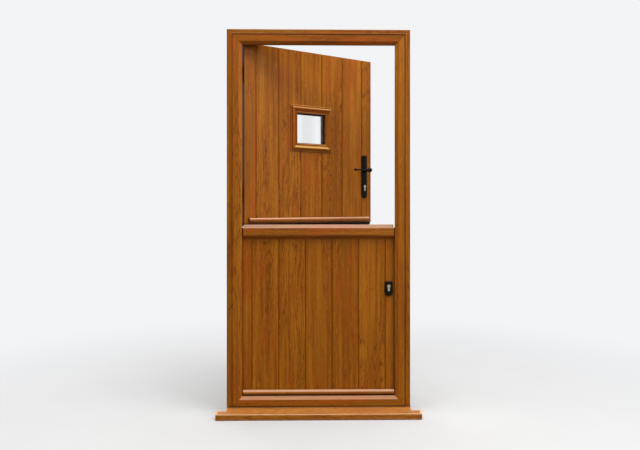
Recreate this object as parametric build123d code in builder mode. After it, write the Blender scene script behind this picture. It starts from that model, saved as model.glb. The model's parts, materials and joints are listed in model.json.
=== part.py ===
"""A stable door: two inward-opening leaves in a mitred hollow frame with a projecting sill.

Lengths are in millimetres. X runs to the right and Y inwards as seen from outside, Z runs up.
The outer face of the frame lies at Y = 0, and the underside of the sill at Z = 0.
"""

import math
import os

from build123d import *

os.makedirs("parts", exist_ok=True)

# Frame
frame_width = 876.0
frame_height = 1881.0
frame_face = 50.0
frame_flat = 34.0
frame_depth = 70.0
lip_bevel = 10.0
lip_depth = 24.0
rebate_width = 25.5
frame_arris = 2.5
profile_wall = 3.0
profile_web = 1.5
extension_width = 27.0
extension_depth = 60.0
extension_round = 4.0
extension_bead = 9.0
extension_bead_round = 2.0
extension_set_back = 3.5
steel_wall = 1.5
steel_setback = 70.0
slide_in = 0.4

# Sill
sill_overhang = 45.0
sill_back = 44.0
sill_nose = 29.0
sill_reach = 80.0
sill_horn = 38.0
sill_flat = 2.0
sill_pitch = 34.0
end_cap = 3.0
drip_groove = 5.0
drip_groove_back = 12.0

# Leaves
leaf_thickness = 44.0
edge_gap = 5.0
end_gap = 6.0
lip_gap = 3.0
meeting_height = 946.0
leaf_split = 20.0
board_pitch = 136.0
board_count = 6
groove_depth = 3.5
joint_width = 2.2
joint_depth = 6.0
slab_arris = 1.5
open_angle = 32.2

# Ledge, drip bars and seals
ledge_side_gap = 6.5
ledge_reach = 22.0
ledge_back_drop = 58.0
ledge_front_drop = 38.0
ledge_nose_drop = 1.0
ledge_upstand = 17.0
ledge_cap = 2.0
bar_side_gap = 4.5
bar_height = 23.0
bar_reach = 20.0
upper_bar_rise = 6.5
lower_bar_rise = 24.0
seal_width = 9.0
seal_inset = 1.5
seal_rest_gap = 0.3
seal_arris = 1.0
meeting_seal_height = 15.5
meeting_seal_inset = 3.0
meeting_seal_wall = 2.5
meeting_seal_round = 5.0

# Window
sight_width = 182.0
sight_height = 164.0
window_from_hinge = 405.0
window_from_top = 416.5
cassette_face = 43.0
cassette_rise = 15.0
cassette_tongue = 9.0
cassette_tongue_depth = 9.5
aperture_margin = 20.0
glass_edge = 7.5
pane_thickness = 4.0
gasket = 0.5
spacer_width = 6.0
boss_radius = 3.6
cassette_screw_inset = 28.0
cassette_screw_face = 4.5
cassette_recess_radius = 4.4
flange_width = 10.0
flange_rise = 4.5
flange_arris = 1.5
ridge_round = 8.0
ridge_flat = 3.0
bead_rise = 8.0
bead_width = 8.0
slope_sag = 1.5

# Locks and handles
backset = 50.0
spindle_rise = 296.0
lever_to_cylinder = 92.0
lower_cylinder_drop = 297.0
spindle_side = 8.0
plate_width = 34.0
plate_above = 85.5
plate_below = 65.5
plate_thickness = 8.0
plate_round_top = 6.0
plate_round_bottom = 14.0
plate_arris = 2.0
plate_screw_inset = 9.5
plate_screw_radius = 2.5
lever_length = 110.0
lever_stand_off = 48.0
lever_collar_radius = 9.0
lever_hub_radius = 14.0
lever_grip_radius = 4.6
lever_end_radius = 8.0
lever_neck_radius = 7.5
lever_elbow_radius = 13.0
lever_hub_height = 16.0
lever_hub_gap = 0.5
spindle_grip = 12.0
escutcheon_width = 38.0
escutcheon_height = 74.0
escutcheon_thickness = 10.0
escutcheon_drop = 13.0
escutcheon_bevel = 3.0
escutcheon_round_top = 10.0
escutcheon_round_bottom = 18.0
case_thickness = 16.0
case_width = 77.0
case_margin = 15.0
faceplate_width = 20.0
faceplate_thickness = 3.0
faceplate_end = 60.0
plug_radius = 6.5
cylinder_radius = 8.5
cylinder_waist = 10.0
cylinder_drop = 24.5
cylinder_proud = 2.0
cam_width = 9.4
cam_reach = 15.0
cam_thick = 8.0
key_slot_width = 2.0
key_slot_height = 8.5
key_slot_depth = 14.0
latch_rise = 38.0
latch_height = 24.0
latch_thickness = 11.0
latch_throw = 12.0
latch_length = 42.0
bolt_rise = 31.0
bolt_height = 20.0
bolt_thickness = 11.0
bolt_length = 40.0
keep_thickness = 2.0
keep_width = 24.0
keep_margin = 32.0
keep_clearance = 0.6
slide_gap = 0.3
turn_gap = 0.05
spindle_bore_gap = 0.5
cut_gap = 1.0

# Hinges
pin_out = 10.0
pin_back = 11.5
pin_radius = 4.0
knuckle_radius = 8.0
pin_cap_radius = 7.0
knuckle_length = 40.0
knuckle_gap = 0.3
flag_thickness = 3.0
flag_height = 96.0
leaf_flag_width = 52.0
leaf_flag_inset = 3.0
hinge_from_end = 150.0

# Joining bolt
joining_from_lock = 200.0
joining_radius = 5.0
joining_throw = 40.0
joining_rod = 80.0
housing_width = 36.0
housing_depth = 18.0
housing_height = 98.0
housing_rise = 6.0
housing_round = 3.0
knob_radius = 7.0
knob_reach = 14.0
knob_gap = 4.5
knob_drop = 14.0
knob_stem_radius = 3.0
keep_block_height = 22.0

# Screws
screw_radius = 2.0
screw_head_radius = 3.8
screw_head_height = 2.0
short_screw = 22.0
long_screw = 36.0
cassette_screw = 46.0
jamb_fixing_radius = 3.5
jamb_fixing_from_end = 150.0
jamb_fixing_count = 4
screw_end = 11.4
flag_screw_edge = 7.6
housing_screw_edge = 5.3
cylinder_screw_radius = 2.5
cylinder_screw_drop = 20.0
cylinder_screw_past = 5.0

# Places worked out from the sizes above
half_frame = frame_width / 2
reveal_half = half_frame + extension_width
sill_length = 2 * (reveal_half + sill_overhang)
frame_bottom = sill_back
frame_top = frame_bottom + frame_height
rebate_x = half_frame - rebate_width
lip_x = half_frame - frame_face
slab_half = rebate_x - edge_gap
slab_front = lip_depth + lip_gap
slab_back = slab_front + leaf_thickness
slab_middle = (slab_front + slab_back) / 2
lower_low = frame_bottom + rebate_width + end_gap
lower_high = meeting_height
upper_low = meeting_height + leaf_split
upper_high = frame_top - rebate_width - end_gap
axis_x = -slab_half - pin_out
axis_y = slab_back + pin_back
lock_x = slab_half - backset
spindle_height = upper_low + spindle_rise
cylinder_height = spindle_height - lever_to_cylinder
lower_cylinder_height = lower_high - lower_cylinder_drop
window_x = window_from_hinge - slab_half
window_height = upper_high - window_from_top
ledge_length = 2 * (lip_x - ledge_side_gap)
bar_length = 2 * (lip_x - bar_side_gap)
through_cut = 4 * frame_depth
fixing_step = (frame_height - 2 * jamb_fixing_from_end) / (jamb_fixing_count - 1)
upper_swing = Pos(axis_x, axis_y, 0) * Rot(0, 0, open_angle) * Pos(-axis_x, -axis_y, 0)
top_face = (Align.CENTER, Align.CENTER, Align.MAX)
low_face = (Align.CENTER, Align.CENTER, Align.MIN)
outwards = (0, -1, 0)
inwards = (0, 1, 0)


def facade(y):
    """An upright plane at depth y: X to the right, Z up, its normal pointing outdoors."""
    return Plane.XZ.offset(-y)


def side(x):
    """An upright plane at x: Y inwards, Z up, its normal pointing to +X."""
    return Plane.YZ.offset(x)


def looking(x, y, z, direction):
    """A plane at a point, with its normal in the given direction."""
    return Plane(origin=(x, y, z), z_dir=direction)


def block(x, y, z, mode=Mode.ADD):
    """A box between two values on each axis."""
    with Locations(((x[0] + x[1]) / 2, (y[0] + y[1]) / 2, (z[0] + z[1]) / 2)):
        Box(x[1] - x[0], y[1] - y[0], z[1] - z[0], mode=mode)


def screws(places, length):
    """Countersunk screws whose heads lie flush at the given planes."""
    with Locations(*places):
        Cone(screw_radius, screw_head_radius, screw_head_height, align=top_face)
        Cylinder(screw_radius, length, align=top_face)


def screw_holes(places, depth):
    """Holes that the screws fill, countersunk at the given planes."""
    with Locations(*places):
        Cone(screw_radius, screw_head_radius, screw_head_height, align=top_face, mode=Mode.SUBTRACT)
        Cylinder(screw_radius, depth, align=top_face, mode=Mode.SUBTRACT)


# Where the hinges, keeps and their screws sit
upper_hinge_heights = (upper_low + hinge_from_end, upper_high - hinge_from_end)
lower_hinge_heights = (lower_low + hinge_from_end, lower_high - hinge_from_end)
frame_flag_width = rebate_width - slide_in
frame_flag_face = frame_depth + flag_thickness
leaf_flag_face = slab_back + flag_thickness
screw_step = flag_height / 2 - screw_end
frame_flag_screws = [
    looking(-half_frame + flag_screw_edge, frame_flag_face, height + rise, inwards)
    for height in upper_hinge_heights + lower_hinge_heights
    for rise in (-screw_step, 0, screw_step)
]
latch_z = spindle_height + latch_rise
upper_bolt_z = cylinder_height + bolt_rise
lower_bolt_z = lower_cylinder_height + bolt_rise
upper_keep_z = (upper_bolt_z - bolt_height / 2 - keep_margin, latch_z + latch_height / 2 + keep_margin)
lower_keep_z = (lower_bolt_z - bolt_height / 2 - keep_margin, lower_bolt_z + bolt_height / 2 + keep_margin)
keep_face = rebate_x - keep_thickness
keep_screws = [
    looking(keep_face, slab_middle, height, (-1, 0, 0))
    for low, high in (upper_keep_z, lower_keep_z)
    for height in (low + screw_end, high - screw_end)
]

# Frame: one hollow section, mitred at its corners
hinge_side = Plane(origin=(-half_frame, 0, frame_bottom), x_dir=(1, 0, 0), z_dir=(0, 0, 1))
lock_side = Plane(origin=(half_frame, 0, frame_top), x_dir=(-1, 0, 0), z_dir=(0, 0, -1))
head_side = Plane(origin=(-half_frame, 0, frame_top), x_dir=(0, 0, -1), z_dir=(1, 0, 0))
threshold_side = Plane(origin=(half_frame, 0, frame_bottom), x_dir=(0, 0, 1), z_dir=(-1, 0, 0))
corner_low_hinge = (-half_frame, 0, frame_bottom)
corner_low_lock = (half_frame, 0, frame_bottom)
corner_high_hinge = (-half_frame, 0, frame_top)
corner_high_lock = (half_frame, 0, frame_top)

with BuildSketch() as frame_section:
    with BuildLine():
        Polyline(
            (frame_arris, 0),
            (frame_flat, 0),
            (frame_face, lip_bevel),
            (frame_face, lip_depth),
            (rebate_width, lip_depth),
            (rebate_width, frame_depth),
            (0, frame_depth),
            (0, frame_arris),
            close=True,
        )
    make_face()
    offset(amount=-profile_wall, kind=Kind.INTERSECTION, mode=Mode.SUBTRACT)
    with Locations((rebate_width / 2, lip_depth)):
        Rectangle(rebate_width, profile_web)
    with Locations((frame_flat / 2, lip_depth / 2)):
        Rectangle(profile_web, lip_depth)

# The extension's front steps back beside a rounded bead that lies against the frame
extension_hull = extension_depth - extension_set_back
with BuildSketch() as extension_section:
    with Locations((-extension_width / 2, extension_depth - extension_hull / 2)):
        RectangleRounded(extension_width, extension_hull, extension_round)
    with Locations((-extension_bead / 2, extension_depth / 4)):
        Rectangle(extension_bead, extension_depth / 2)
    fillet(extension_section.vertices().group_by(Axis.Y)[0], extension_bead_round)
    with Locations((-extension_width / 2, extension_depth - extension_hull / 2)):
        Rectangle(
            extension_width - 2 * profile_wall,
            extension_hull - 2 * profile_wall,
            mode=Mode.SUBTRACT,
        )
        Rectangle(extension_width - profile_wall, profile_web)

steel_width = rebate_width - 2 * profile_wall - 2 * slide_in
steel_depth = frame_depth - profile_wall - lip_depth - profile_web / 2 - 2 * slide_in
steel_middle = (frame_depth - profile_wall + lip_depth + profile_web / 2) / 2
with BuildSketch() as steel_section:
    with Locations((rebate_width / 2, steel_middle)):
        Rectangle(steel_width, steel_depth)
        Rectangle(steel_width - 2 * steel_wall, steel_depth - 2 * steel_wall, mode=Mode.SUBTRACT)


def mitre(corner, normal):
    """Keep what lies on the side of a corner plane that its normal points to."""
    split(bisect_by=Plane(origin=corner, z_dir=normal), keep=Keep.TOP)


def jamb_fixings():
    """Holes for the fixings that pass sideways through a jamb and its extension into the wall."""
    for index in range(jamb_fixing_count):
        height = frame_bottom + jamb_fixing_from_end + index * fixing_step
        with Locations(looking(0, steel_middle, height, (1, 0, 0))):
            Cylinder(jamb_fixing_radius, 2 * (reveal_half + cut_gap), mode=Mode.SUBTRACT)


def bolt_pocket(height, tall, thick, margin):
    """The pocket that a latch or bolt enters on the lock side."""
    steel_back = half_frame - profile_wall - slide_in - steel_wall
    reach = (keep_face - cut_gap, steel_back)
    half_thick = thick / 2 + margin
    half_tall = tall / 2 + margin
    block(
        reach,
        (slab_middle - half_thick, slab_middle + half_thick),
        (height - half_tall, height + half_tall),
        mode=Mode.SUBTRACT,
    )


def lock_pockets(margin):
    """The pockets of the latch and of both deadbolts."""
    bolt_pocket(latch_z, latch_height, latch_thickness, margin)
    bolt_pocket(upper_bolt_z, bolt_height, bolt_thickness, margin)
    bolt_pocket(lower_bolt_z, bolt_height, bolt_thickness, margin)


with BuildPart() as hinge_jamb:
    with BuildSketch(hinge_side):
        add(frame_section.sketch)
    extrude(amount=frame_height)
    mitre(corner_low_hinge, (-1, 0, 1))
    mitre(corner_high_hinge, (-1, 0, -1))
    jamb_fixings()
    screw_holes(frame_flag_screws, short_screw)
hinge_jamb.part.label = "hinge_jamb"
export_step(hinge_jamb.part, "parts/hinge_jamb.step")

with BuildPart() as lock_jamb:
    with BuildSketch(lock_side):
        add(frame_section.sketch)
    extrude(amount=frame_height)
    mitre(corner_low_lock, (1, 0, 1))
    mitre(corner_high_lock, (1, 0, -1))
    jamb_fixings()
    lock_pockets(cut_gap)
    screw_holes(keep_screws, short_screw)
lock_jamb.part.label = "lock_jamb"
export_step(lock_jamb.part, "parts/lock_jamb.step")

with BuildPart() as head:
    with BuildSketch(head_side):
        add(frame_section.sketch)
    extrude(amount=frame_width)
    mitre(corner_high_hinge, (1, 0, 1))
    mitre(corner_high_lock, (-1, 0, 1))
head.part.label = "head"
export_step(head.part, "parts/head.step")

with BuildPart() as threshold:
    with BuildSketch(threshold_side):
        add(frame_section.sketch)
    extrude(amount=frame_width)
    mitre(corner_low_hinge, (1, 0, -1))
    mitre(corner_low_lock, (-1, 0, -1))
threshold.part.label = "threshold"
export_step(threshold.part, "parts/threshold.step")

# Galvanised box sections inside the frame
with BuildPart() as hinge_jamb_steel:
    with BuildSketch(hinge_side.offset(steel_setback)):
        add(steel_section.sketch)
    extrude(amount=frame_height - 2 * steel_setback)
    jamb_fixings()
    screw_holes(frame_flag_screws, short_screw)
hinge_jamb_steel.part.label = "hinge_jamb_steel"
export_step(hinge_jamb_steel.part, "parts/hinge_jamb_steel.step")

with BuildPart() as lock_jamb_steel:
    with BuildSketch(lock_side.offset(steel_setback)):
        add(steel_section.sketch)
    extrude(amount=frame_height - 2 * steel_setback)
    jamb_fixings()
    lock_pockets(cut_gap)
    screw_holes(keep_screws, short_screw)
lock_jamb_steel.part.label = "lock_jamb_steel"
export_step(lock_jamb_steel.part, "parts/lock_jamb_steel.step")

with BuildPart() as head_steel:
    with BuildSketch(head_side.offset(steel_setback)):
        add(steel_section.sketch)
    extrude(amount=frame_width - 2 * steel_setback)
head_steel.part.label = "head_steel"
export_step(head_steel.part, "parts/head_steel.step")

with BuildPart() as threshold_steel:
    with BuildSketch(threshold_side.offset(steel_setback)):
        add(steel_section.sketch)
    extrude(amount=frame_width - 2 * steel_setback)
threshold_steel.part.label = "threshold_steel"
export_step(threshold_steel.part, "parts/threshold_steel.step")

# Extension strips outside the jambs and the head
with BuildPart() as hinge_extension:
    with BuildSketch(hinge_side):
        add(extension_section.sketch)
    extrude(amount=frame_height + extension_width)
    mitre(corner_high_hinge, (-1, 0, -1))
    jamb_fixings()
hinge_extension.part.label = "hinge_extension"
export_step(hinge_extension.part, "parts/hinge_extension.step")

with BuildPart() as lock_extension:
    with BuildSketch(lock_side.offset(-extension_width)):
        add(extension_section.sketch)
    extrude(amount=frame_height + extension_width)
    mitre(corner_high_lock, (1, 0, -1))
    jamb_fixings()
lock_extension.part.label = "lock_extension"
export_step(lock_extension.part, "parts/lock_extension.step")

with BuildPart() as head_extension:
    with BuildSketch(head_side.offset(-extension_width)):
        add(extension_section.sketch)
    extrude(amount=frame_width + 2 * extension_width)
    mitre(corner_high_hinge, (1, 0, 1))
    mitre(corner_high_lock, (-1, 0, 1))
head_extension.part.label = "head_extension"
export_step(head_extension.part, "parts/head_extension.step")

# Sill: a hollow section with horns that pass in front of the wall
sill_body = sill_length - 2 * end_cap
behind_horns = (sill_horn - sill_reach, frame_depth + cut_gap)

with BuildSketch() as sill_section:
    with BuildLine():
        Polyline(
            (-sill_reach, sill_nose),
            (-sill_flat, sill_back),
            (frame_depth, sill_back),
            (frame_depth, 0),
            (-sill_reach + drip_groove_back + drip_groove, 0),
            (-sill_reach + drip_groove_back + drip_groove / 2, drip_groove / 2),
            (-sill_reach + drip_groove_back, 0),
            (-sill_reach, 0),
            close=True,
        )
    make_face()

with BuildPart() as sill:
    with BuildSketch(side(-sill_body / 2)):
        add(sill_section.sketch)
        offset(amount=-profile_wall, kind=Kind.INTERSECTION, mode=Mode.SUBTRACT)
        for step in range(int((sill_reach + frame_depth) / sill_pitch)):
            web_y = -sill_reach + (step + 1) * sill_pitch
            slope = (sill_back - sill_nose) / (sill_reach - sill_flat)
            web_top = min(sill_back, sill_nose + (web_y + sill_reach) * slope) - profile_wall / 2
            with Locations((web_y, web_top / 2 + profile_wall / 4)):
                Rectangle(profile_web, web_top - profile_wall / 2)
    extrude(amount=sill_body)
    for x in ((-sill_length / 2, -reveal_half), (reveal_half, sill_length / 2)):
        block(x, behind_horns, (-cut_gap, sill_back + cut_gap), Mode.SUBTRACT)
sill.part.label = "sill"
export_step(sill.part, "parts/sill.step")

with BuildPart() as sill_end_caps:
    for x in (-sill_length / 2, sill_body / 2):
        with BuildSketch(side(x)):
            add(sill_section.sketch)
        extrude(amount=end_cap)
    block((-sill_length, sill_length), behind_horns, (-cut_gap, sill_back + cut_gap), Mode.SUBTRACT)
sill_end_caps.part.label = "sill_end_caps"
export_step(sill_end_caps.part, "parts/sill_end_caps.step")

# Weather seal behind the lip, all round the rebate
opening_half = lip_x + seal_inset
opening_low = frame_bottom + frame_face - seal_inset
opening_high = frame_top - frame_face + seal_inset
opening_middle = (opening_low + opening_high) / 2
with BuildPart() as frame_seal:
    with BuildSketch(facade(lip_depth)):
        with Locations((0, opening_middle)):
            Rectangle(2 * (opening_half + seal_width), opening_high - opening_low + 2 * seal_width)
            Rectangle(2 * opening_half, opening_high - opening_low, mode=Mode.SUBTRACT)
    extrude(amount=-(lip_gap - seal_rest_gap))
    chamfer(frame_seal.faces().sort_by(Axis.Y)[-1].edges(), seal_arris)
frame_seal.part.label = "frame_seal"
export_step(frame_seal.part, "parts/frame_seal.step")


# Hinges: a frame flag and a leaf flag on one pin, four times
def leaf_flag_screws(heights):
    """Three screw places on each leaf flag of a leaf."""
    x = -slab_half + leaf_flag_width - screw_end
    rises = (-screw_step, 0, screw_step)
    return [looking(x, leaf_flag_face, height + rise, inwards) for height in heights for rise in rises]


with BuildSketch() as leaf_flag_web:
    with BuildLine():
        Polyline(
            (axis_x, axis_y + knuckle_radius),
            (-slab_half + leaf_flag_width / 2, leaf_flag_face),
            (-slab_half + leaf_flag_inset, slab_back),
            (axis_x, axis_y - knuckle_radius),
            close=True,
        )
    make_face()


def knuckle(low, high, bore):
    """A hinge barrel round the pin's axis, bored for the pin."""
    with Locations((axis_x, axis_y, low)):
        Cylinder(knuckle_radius, high - low, align=low_face)
        Cylinder(bore, high - low, align=low_face, mode=Mode.SUBTRACT)


def frame_flag(height):
    """One flag on the frame's room face, with the lower knuckle."""
    top = height - knuckle_gap / 2
    low = height - knuckle_length
    flag_x = (-half_frame, -half_frame + frame_flag_width)
    block(flag_x, (frame_depth, frame_flag_face), (height - flag_height / 2, height + flag_height / 2))
    block((axis_x - knuckle_radius, axis_x + pin_radius), (frame_depth, axis_y), (low, top))
    knuckle(low, top, pin_radius)


def leaf_flag(height):
    """One flag on a leaf's room face, with the upper knuckle."""
    low = height + knuckle_gap / 2
    flag_x = (-slab_half + leaf_flag_inset, -slab_half + leaf_flag_inset + leaf_flag_width)
    block(flag_x, (slab_back, leaf_flag_face), (height - flag_height / 2, height + flag_height / 2))
    with BuildSketch(Plane.XY.offset(low)) as web:
        add(leaf_flag_web.sketch)
    extrude(web.sketch, amount=knuckle_length)
    knuckle(low, low + knuckle_length, pin_radius + turn_gap)


with BuildPart() as frame_hinge_flags:
    for height in upper_hinge_heights + lower_hinge_heights:
        frame_flag(height)
    screw_holes(frame_flag_screws, flag_thickness)
frame_hinge_flags.part.label = "frame_hinge_flags"
export_step(frame_hinge_flags.part, "parts/frame_hinge_flags.step")

with BuildPart() as hinge_pins:
    for height in upper_hinge_heights + lower_hinge_heights:
        with Locations((axis_x, axis_y, height - knuckle_length)):
            Cylinder(pin_radius, 2 * knuckle_length + knuckle_gap, align=low_face)
        with Locations((axis_x, axis_y, height + knuckle_length + knuckle_gap)):
            Cylinder(pin_cap_radius, flag_thickness, align=low_face)
hinge_pins.part.label = "hinge_pins"
export_step(hinge_pins.part, "parts/hinge_pins.step")

with BuildPart() as upper_hinge_flags:
    for height in upper_hinge_heights:
        leaf_flag(height)
    screw_holes(leaf_flag_screws(upper_hinge_heights), flag_thickness)
upper_hinge_flags.part.move(upper_swing)
upper_hinge_flags.part.label = "upper_hinge_flags"
export_step(upper_hinge_flags.part, "parts/upper_hinge_flags.step")

with BuildPart() as lower_hinge_flags:
    for height in lower_hinge_heights:
        leaf_flag(height)
    screw_holes(leaf_flag_screws(lower_hinge_heights), flag_thickness)
lower_hinge_flags.part.label = "lower_hinge_flags"
export_step(lower_hinge_flags.part, "parts/lower_hinge_flags.step")

# Keeps on the lock jamb, and the screws of keeps and frame flags
with BuildPart() as upper_keep:
    block((keep_face, rebate_x), (slab_middle - keep_width / 2, slab_middle + keep_width / 2), upper_keep_z)
    lock_pockets(keep_clearance)
    screw_holes(keep_screws, keep_thickness)
upper_keep.part.label = "upper_keep"
export_step(upper_keep.part, "parts/upper_keep.step")

with BuildPart() as lower_keep:
    block((keep_face, rebate_x), (slab_middle - keep_width / 2, slab_middle + keep_width / 2), lower_keep_z)
    lock_pockets(keep_clearance)
    screw_holes(keep_screws, keep_thickness)
lower_keep.part.label = "lower_keep"
export_step(lower_keep.part, "parts/lower_keep.step")

with BuildPart() as frame_screws:
    screws(frame_flag_screws + keep_screws, short_screw)
frame_screws.part.label = "frame_screws"
export_step(frame_screws.part, "parts/frame_screws.step")

# Locks: shared sections and cuts
case_back = slab_half - faceplate_thickness - case_width
case_front = slab_half - faceplate_thickness
case_foot = cylinder_drop + case_margin
upper_case_z = (cylinder_height - case_foot, latch_z + latch_height / 2 + case_margin)
lower_case_z = (lower_cylinder_height - case_foot, lower_bolt_z + bolt_height / 2 + case_margin)
upper_faceplate_z = (upper_low + faceplate_end, upper_high - faceplate_end)
lower_faceplate_z = (lower_low + faceplate_end, lower_high - faceplate_end)


def euro_section(z, margin):
    """The keyhole outline of a euro cylinder, round at the top, on the facade."""
    with BuildSketch(facade(0)) as outline:
        with Locations((lock_x, z)):
            Circle(cylinder_radius + margin)
        with Locations((lock_x, z - cylinder_drop / 2 - margin / 2)):
            Rectangle(cylinder_waist + 2 * margin, cylinder_drop + margin)
    return outline.sketch


def euro_hole(z, margin):
    """A hole for a euro cylinder through whatever stands in its way."""
    extrude(euro_section(z, margin), amount=through_cut, both=True, mode=Mode.SUBTRACT)


def round_hole(z, radius):
    """A round hole on the lock's centre line, through whatever stands in its way."""
    with Locations(looking(lock_x, slab_middle, z, outwards)):
        Cylinder(radius, through_cut, mode=Mode.SUBTRACT)


def edge_channel(z, tall, thick, depth, margin):
    """A channel from the leaf's edge inwards for something that slides in and out."""
    block(
        (slab_half - depth - margin, slab_half + cut_gap),
        (slab_middle - thick / 2 - margin, slab_middle + thick / 2 + margin),
        (z - tall / 2 - margin, z + tall / 2 + margin),
        mode=Mode.SUBTRACT,
    )


def latch_and_bolt_channels():
    """The channels of the upper leaf's latch and deadbolt."""
    edge_channel(latch_z, latch_height, latch_thickness, latch_length, slide_gap)
    edge_channel(upper_bolt_z, bolt_height, bolt_thickness, bolt_length, slide_gap)


def lock_mortise(case_z, plate_z, cylinder_z):
    """Room in a slab's edge for a lock case, its faceplate and its cylinder."""
    mouth = slab_half + cut_gap
    case_half = case_thickness / 2 + slide_in
    plate_half = faceplate_width / 2
    case_y = (slab_middle - case_half, slab_middle + case_half)
    plate_y = (slab_middle - plate_half, slab_middle + plate_half)
    block((case_back - slide_in, mouth), case_y, case_z, Mode.SUBTRACT)
    block((case_front, mouth), plate_y, plate_z, Mode.SUBTRACT)
    euro_hole(cylinder_z, cut_gap)


def cylinder_screw(z, mode):
    """The long screw that holds a euro cylinder from the faceplate, or its hole."""
    length = backset + cylinder_screw_past
    with Locations(looking(slab_half, slab_middle, z - cylinder_screw_drop, (1, 0, 0))):
        Cone(cylinder_screw_radius, screw_head_radius, screw_head_height, align=top_face, mode=mode)
        Cylinder(cylinder_screw_radius, length, align=top_face, mode=mode)


def lock_case(case_z, cylinder_z):
    """A lock case's block, hollowed for the cylinder and for the cam that turns in it."""
    half = case_thickness / 2
    block((case_back, case_front), (slab_middle - half, slab_middle + half), case_z)
    euro_hole(cylinder_z, slide_in)
    with Locations(looking(lock_x, slab_middle, cylinder_z, outwards)):
        Cylinder(cam_reach + cut_gap, cam_width + 2 * cut_gap, mode=Mode.SUBTRACT)
    cylinder_screw(cylinder_z, Mode.SUBTRACT)


def faceplate(plate_z, places, cylinder_z):
    """The long strip let into a leaf's lock edge."""
    half = faceplate_width / 2
    block((case_front, slab_half), (slab_middle - half, slab_middle + half), plate_z)
    screw_holes(places, faceplate_thickness)
    cylinder_screw(cylinder_z, Mode.SUBTRACT)


def faceplate_screw_places(plate_z, case_z):
    """Screw places near both ends of a faceplate and on either side of its case."""
    low, high = plate_z
    heights = (low + screw_end, case_z[0] - screw_end, case_z[1] + screw_end, high - screw_end)
    return [looking(slab_half, slab_middle, height, (1, 0, 0)) for height in heights]


def cylinder_body(z, trim):
    """A euro cylinder between two trims, bored for its plug and slotted for its cam."""
    front = slab_front - trim - cylinder_proud
    length = leaf_thickness + 2 * trim + 2 * cylinder_proud
    with BuildSketch(facade(front)) as outline:
        with Locations((lock_x, z)):
            Circle(cylinder_radius)
        with Locations((lock_x, z - cylinder_drop / 2)):
            Rectangle(cylinder_waist, cylinder_drop)
    extrude(outline.sketch, amount=-length)
    round_hole(z, plug_radius + turn_gap)
    with Locations(looking(lock_x, slab_middle, z, outwards)):
        Cylinder(cam_reach + slide_gap, cam_width + 2 * slide_gap, mode=Mode.SUBTRACT)
    cylinder_screw(z, Mode.SUBTRACT)


def plug(z, trim):
    """A cylinder's plug with its cam in the middle and a key slot at each end."""
    length = leaf_thickness + 2 * trim + 2 * cylinder_proud
    with Locations(looking(lock_x, slab_middle, z, outwards)):
        Cylinder(plug_radius, length)
        Cylinder(cylinder_radius - slide_gap, cam_width)
    cam_drop = math.sqrt(cam_reach**2 - cam_thick**2 / 4)
    block(
        (lock_x - cam_thick / 2, lock_x + cam_thick / 2),
        (slab_middle - cam_width / 2, slab_middle + cam_width / 2),
        (z - cam_drop, z),
    )
    for mouth in (slab_middle - length / 2, slab_middle + length / 2):
        with Locations((lock_x, mouth, z)):
            Box(key_slot_width, 2 * key_slot_depth, key_slot_height, mode=Mode.SUBTRACT)


def deadbolt(z):
    """A deadbolt drawn back flush with the faceplate."""
    block(
        (slab_half - bolt_length, slab_half),
        (slab_middle - bolt_thickness / 2, slab_middle + bolt_thickness / 2),
        (z - bolt_height / 2, z + bolt_height / 2),
    )


# Slabs: tongue-and-groove boards in relief on both faces
board_edges = [(index - (board_count - 1) / 2) * board_pitch for index in range(board_count)]
groove_side = groove_depth * math.sqrt(2)
with BuildSketch() as slab_section:
    with Locations((0, slab_middle)):
        Rectangle(2 * slab_half, leaf_thickness)
    chamfer(slab_section.vertices(), slab_arris)
    with Locations(*[(x, y) for x in board_edges for y in (slab_front, slab_back)]):
        Rectangle(groove_side, groove_side, rotation=45, mode=Mode.SUBTRACT)
        Rectangle(joint_width, 2 * joint_depth, mode=Mode.SUBTRACT)

upper_faceplate_screws = faceplate_screw_places(upper_faceplate_z, upper_case_z)
lower_faceplate_screws = faceplate_screw_places(lower_faceplate_z, lower_case_z)
joining_x = slab_half - joining_from_lock
joining_y = slab_back + housing_depth / 2
housing_low = upper_low + housing_rise
housing_high = housing_low + housing_height
housing_face = slab_back + housing_depth
keep_block_high = lower_high - cut_gap
keep_block_low = keep_block_high - keep_block_height
housing_screw_x = housing_width / 2 - housing_screw_edge
housing_screws = [
    looking(joining_x + shift, housing_face, height, inwards)
    for shift in (-housing_screw_x, housing_screw_x)
    for height in (housing_low + screw_end, housing_high - screw_end)
]
keep_block_screws = [
    looking(joining_x + shift, housing_face, (keep_block_low + keep_block_high) / 2, inwards)
    for shift in (-housing_screw_x, housing_screw_x)
]
aperture_x = sight_width / 2 + aperture_margin
aperture_z = sight_height / 2 + aperture_margin
plate_high = spindle_height + plate_above
plate_low = cylinder_height - plate_below
plate_screw_heights = (plate_low + plate_screw_inset, plate_high - plate_screw_inset)

with BuildPart() as upper_slab:
    with BuildSketch(Plane.XY.offset(upper_low)):
        add(slab_section.sketch)
    extrude(amount=upper_high - upper_low)
    block(
        (window_x - aperture_x, window_x + aperture_x),
        (0, slab_back + cut_gap),
        (window_height - aperture_z, window_height + aperture_z),
        mode=Mode.SUBTRACT,
    )
    lock_mortise(upper_case_z, upper_faceplate_z, cylinder_height)
    round_hole(spindle_height, lever_collar_radius + spindle_bore_gap)
    for height in plate_screw_heights:
        round_hole(height, plate_screw_radius)
    screw_holes(leaf_flag_screws(upper_hinge_heights), short_screw)
    screw_holes(upper_faceplate_screws, short_screw)
    screw_holes(housing_screws, long_screw)
upper_slab.part.move(upper_swing)
upper_slab.part.label = "upper_slab"
export_step(upper_slab.part, "parts/upper_slab.step")

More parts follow.
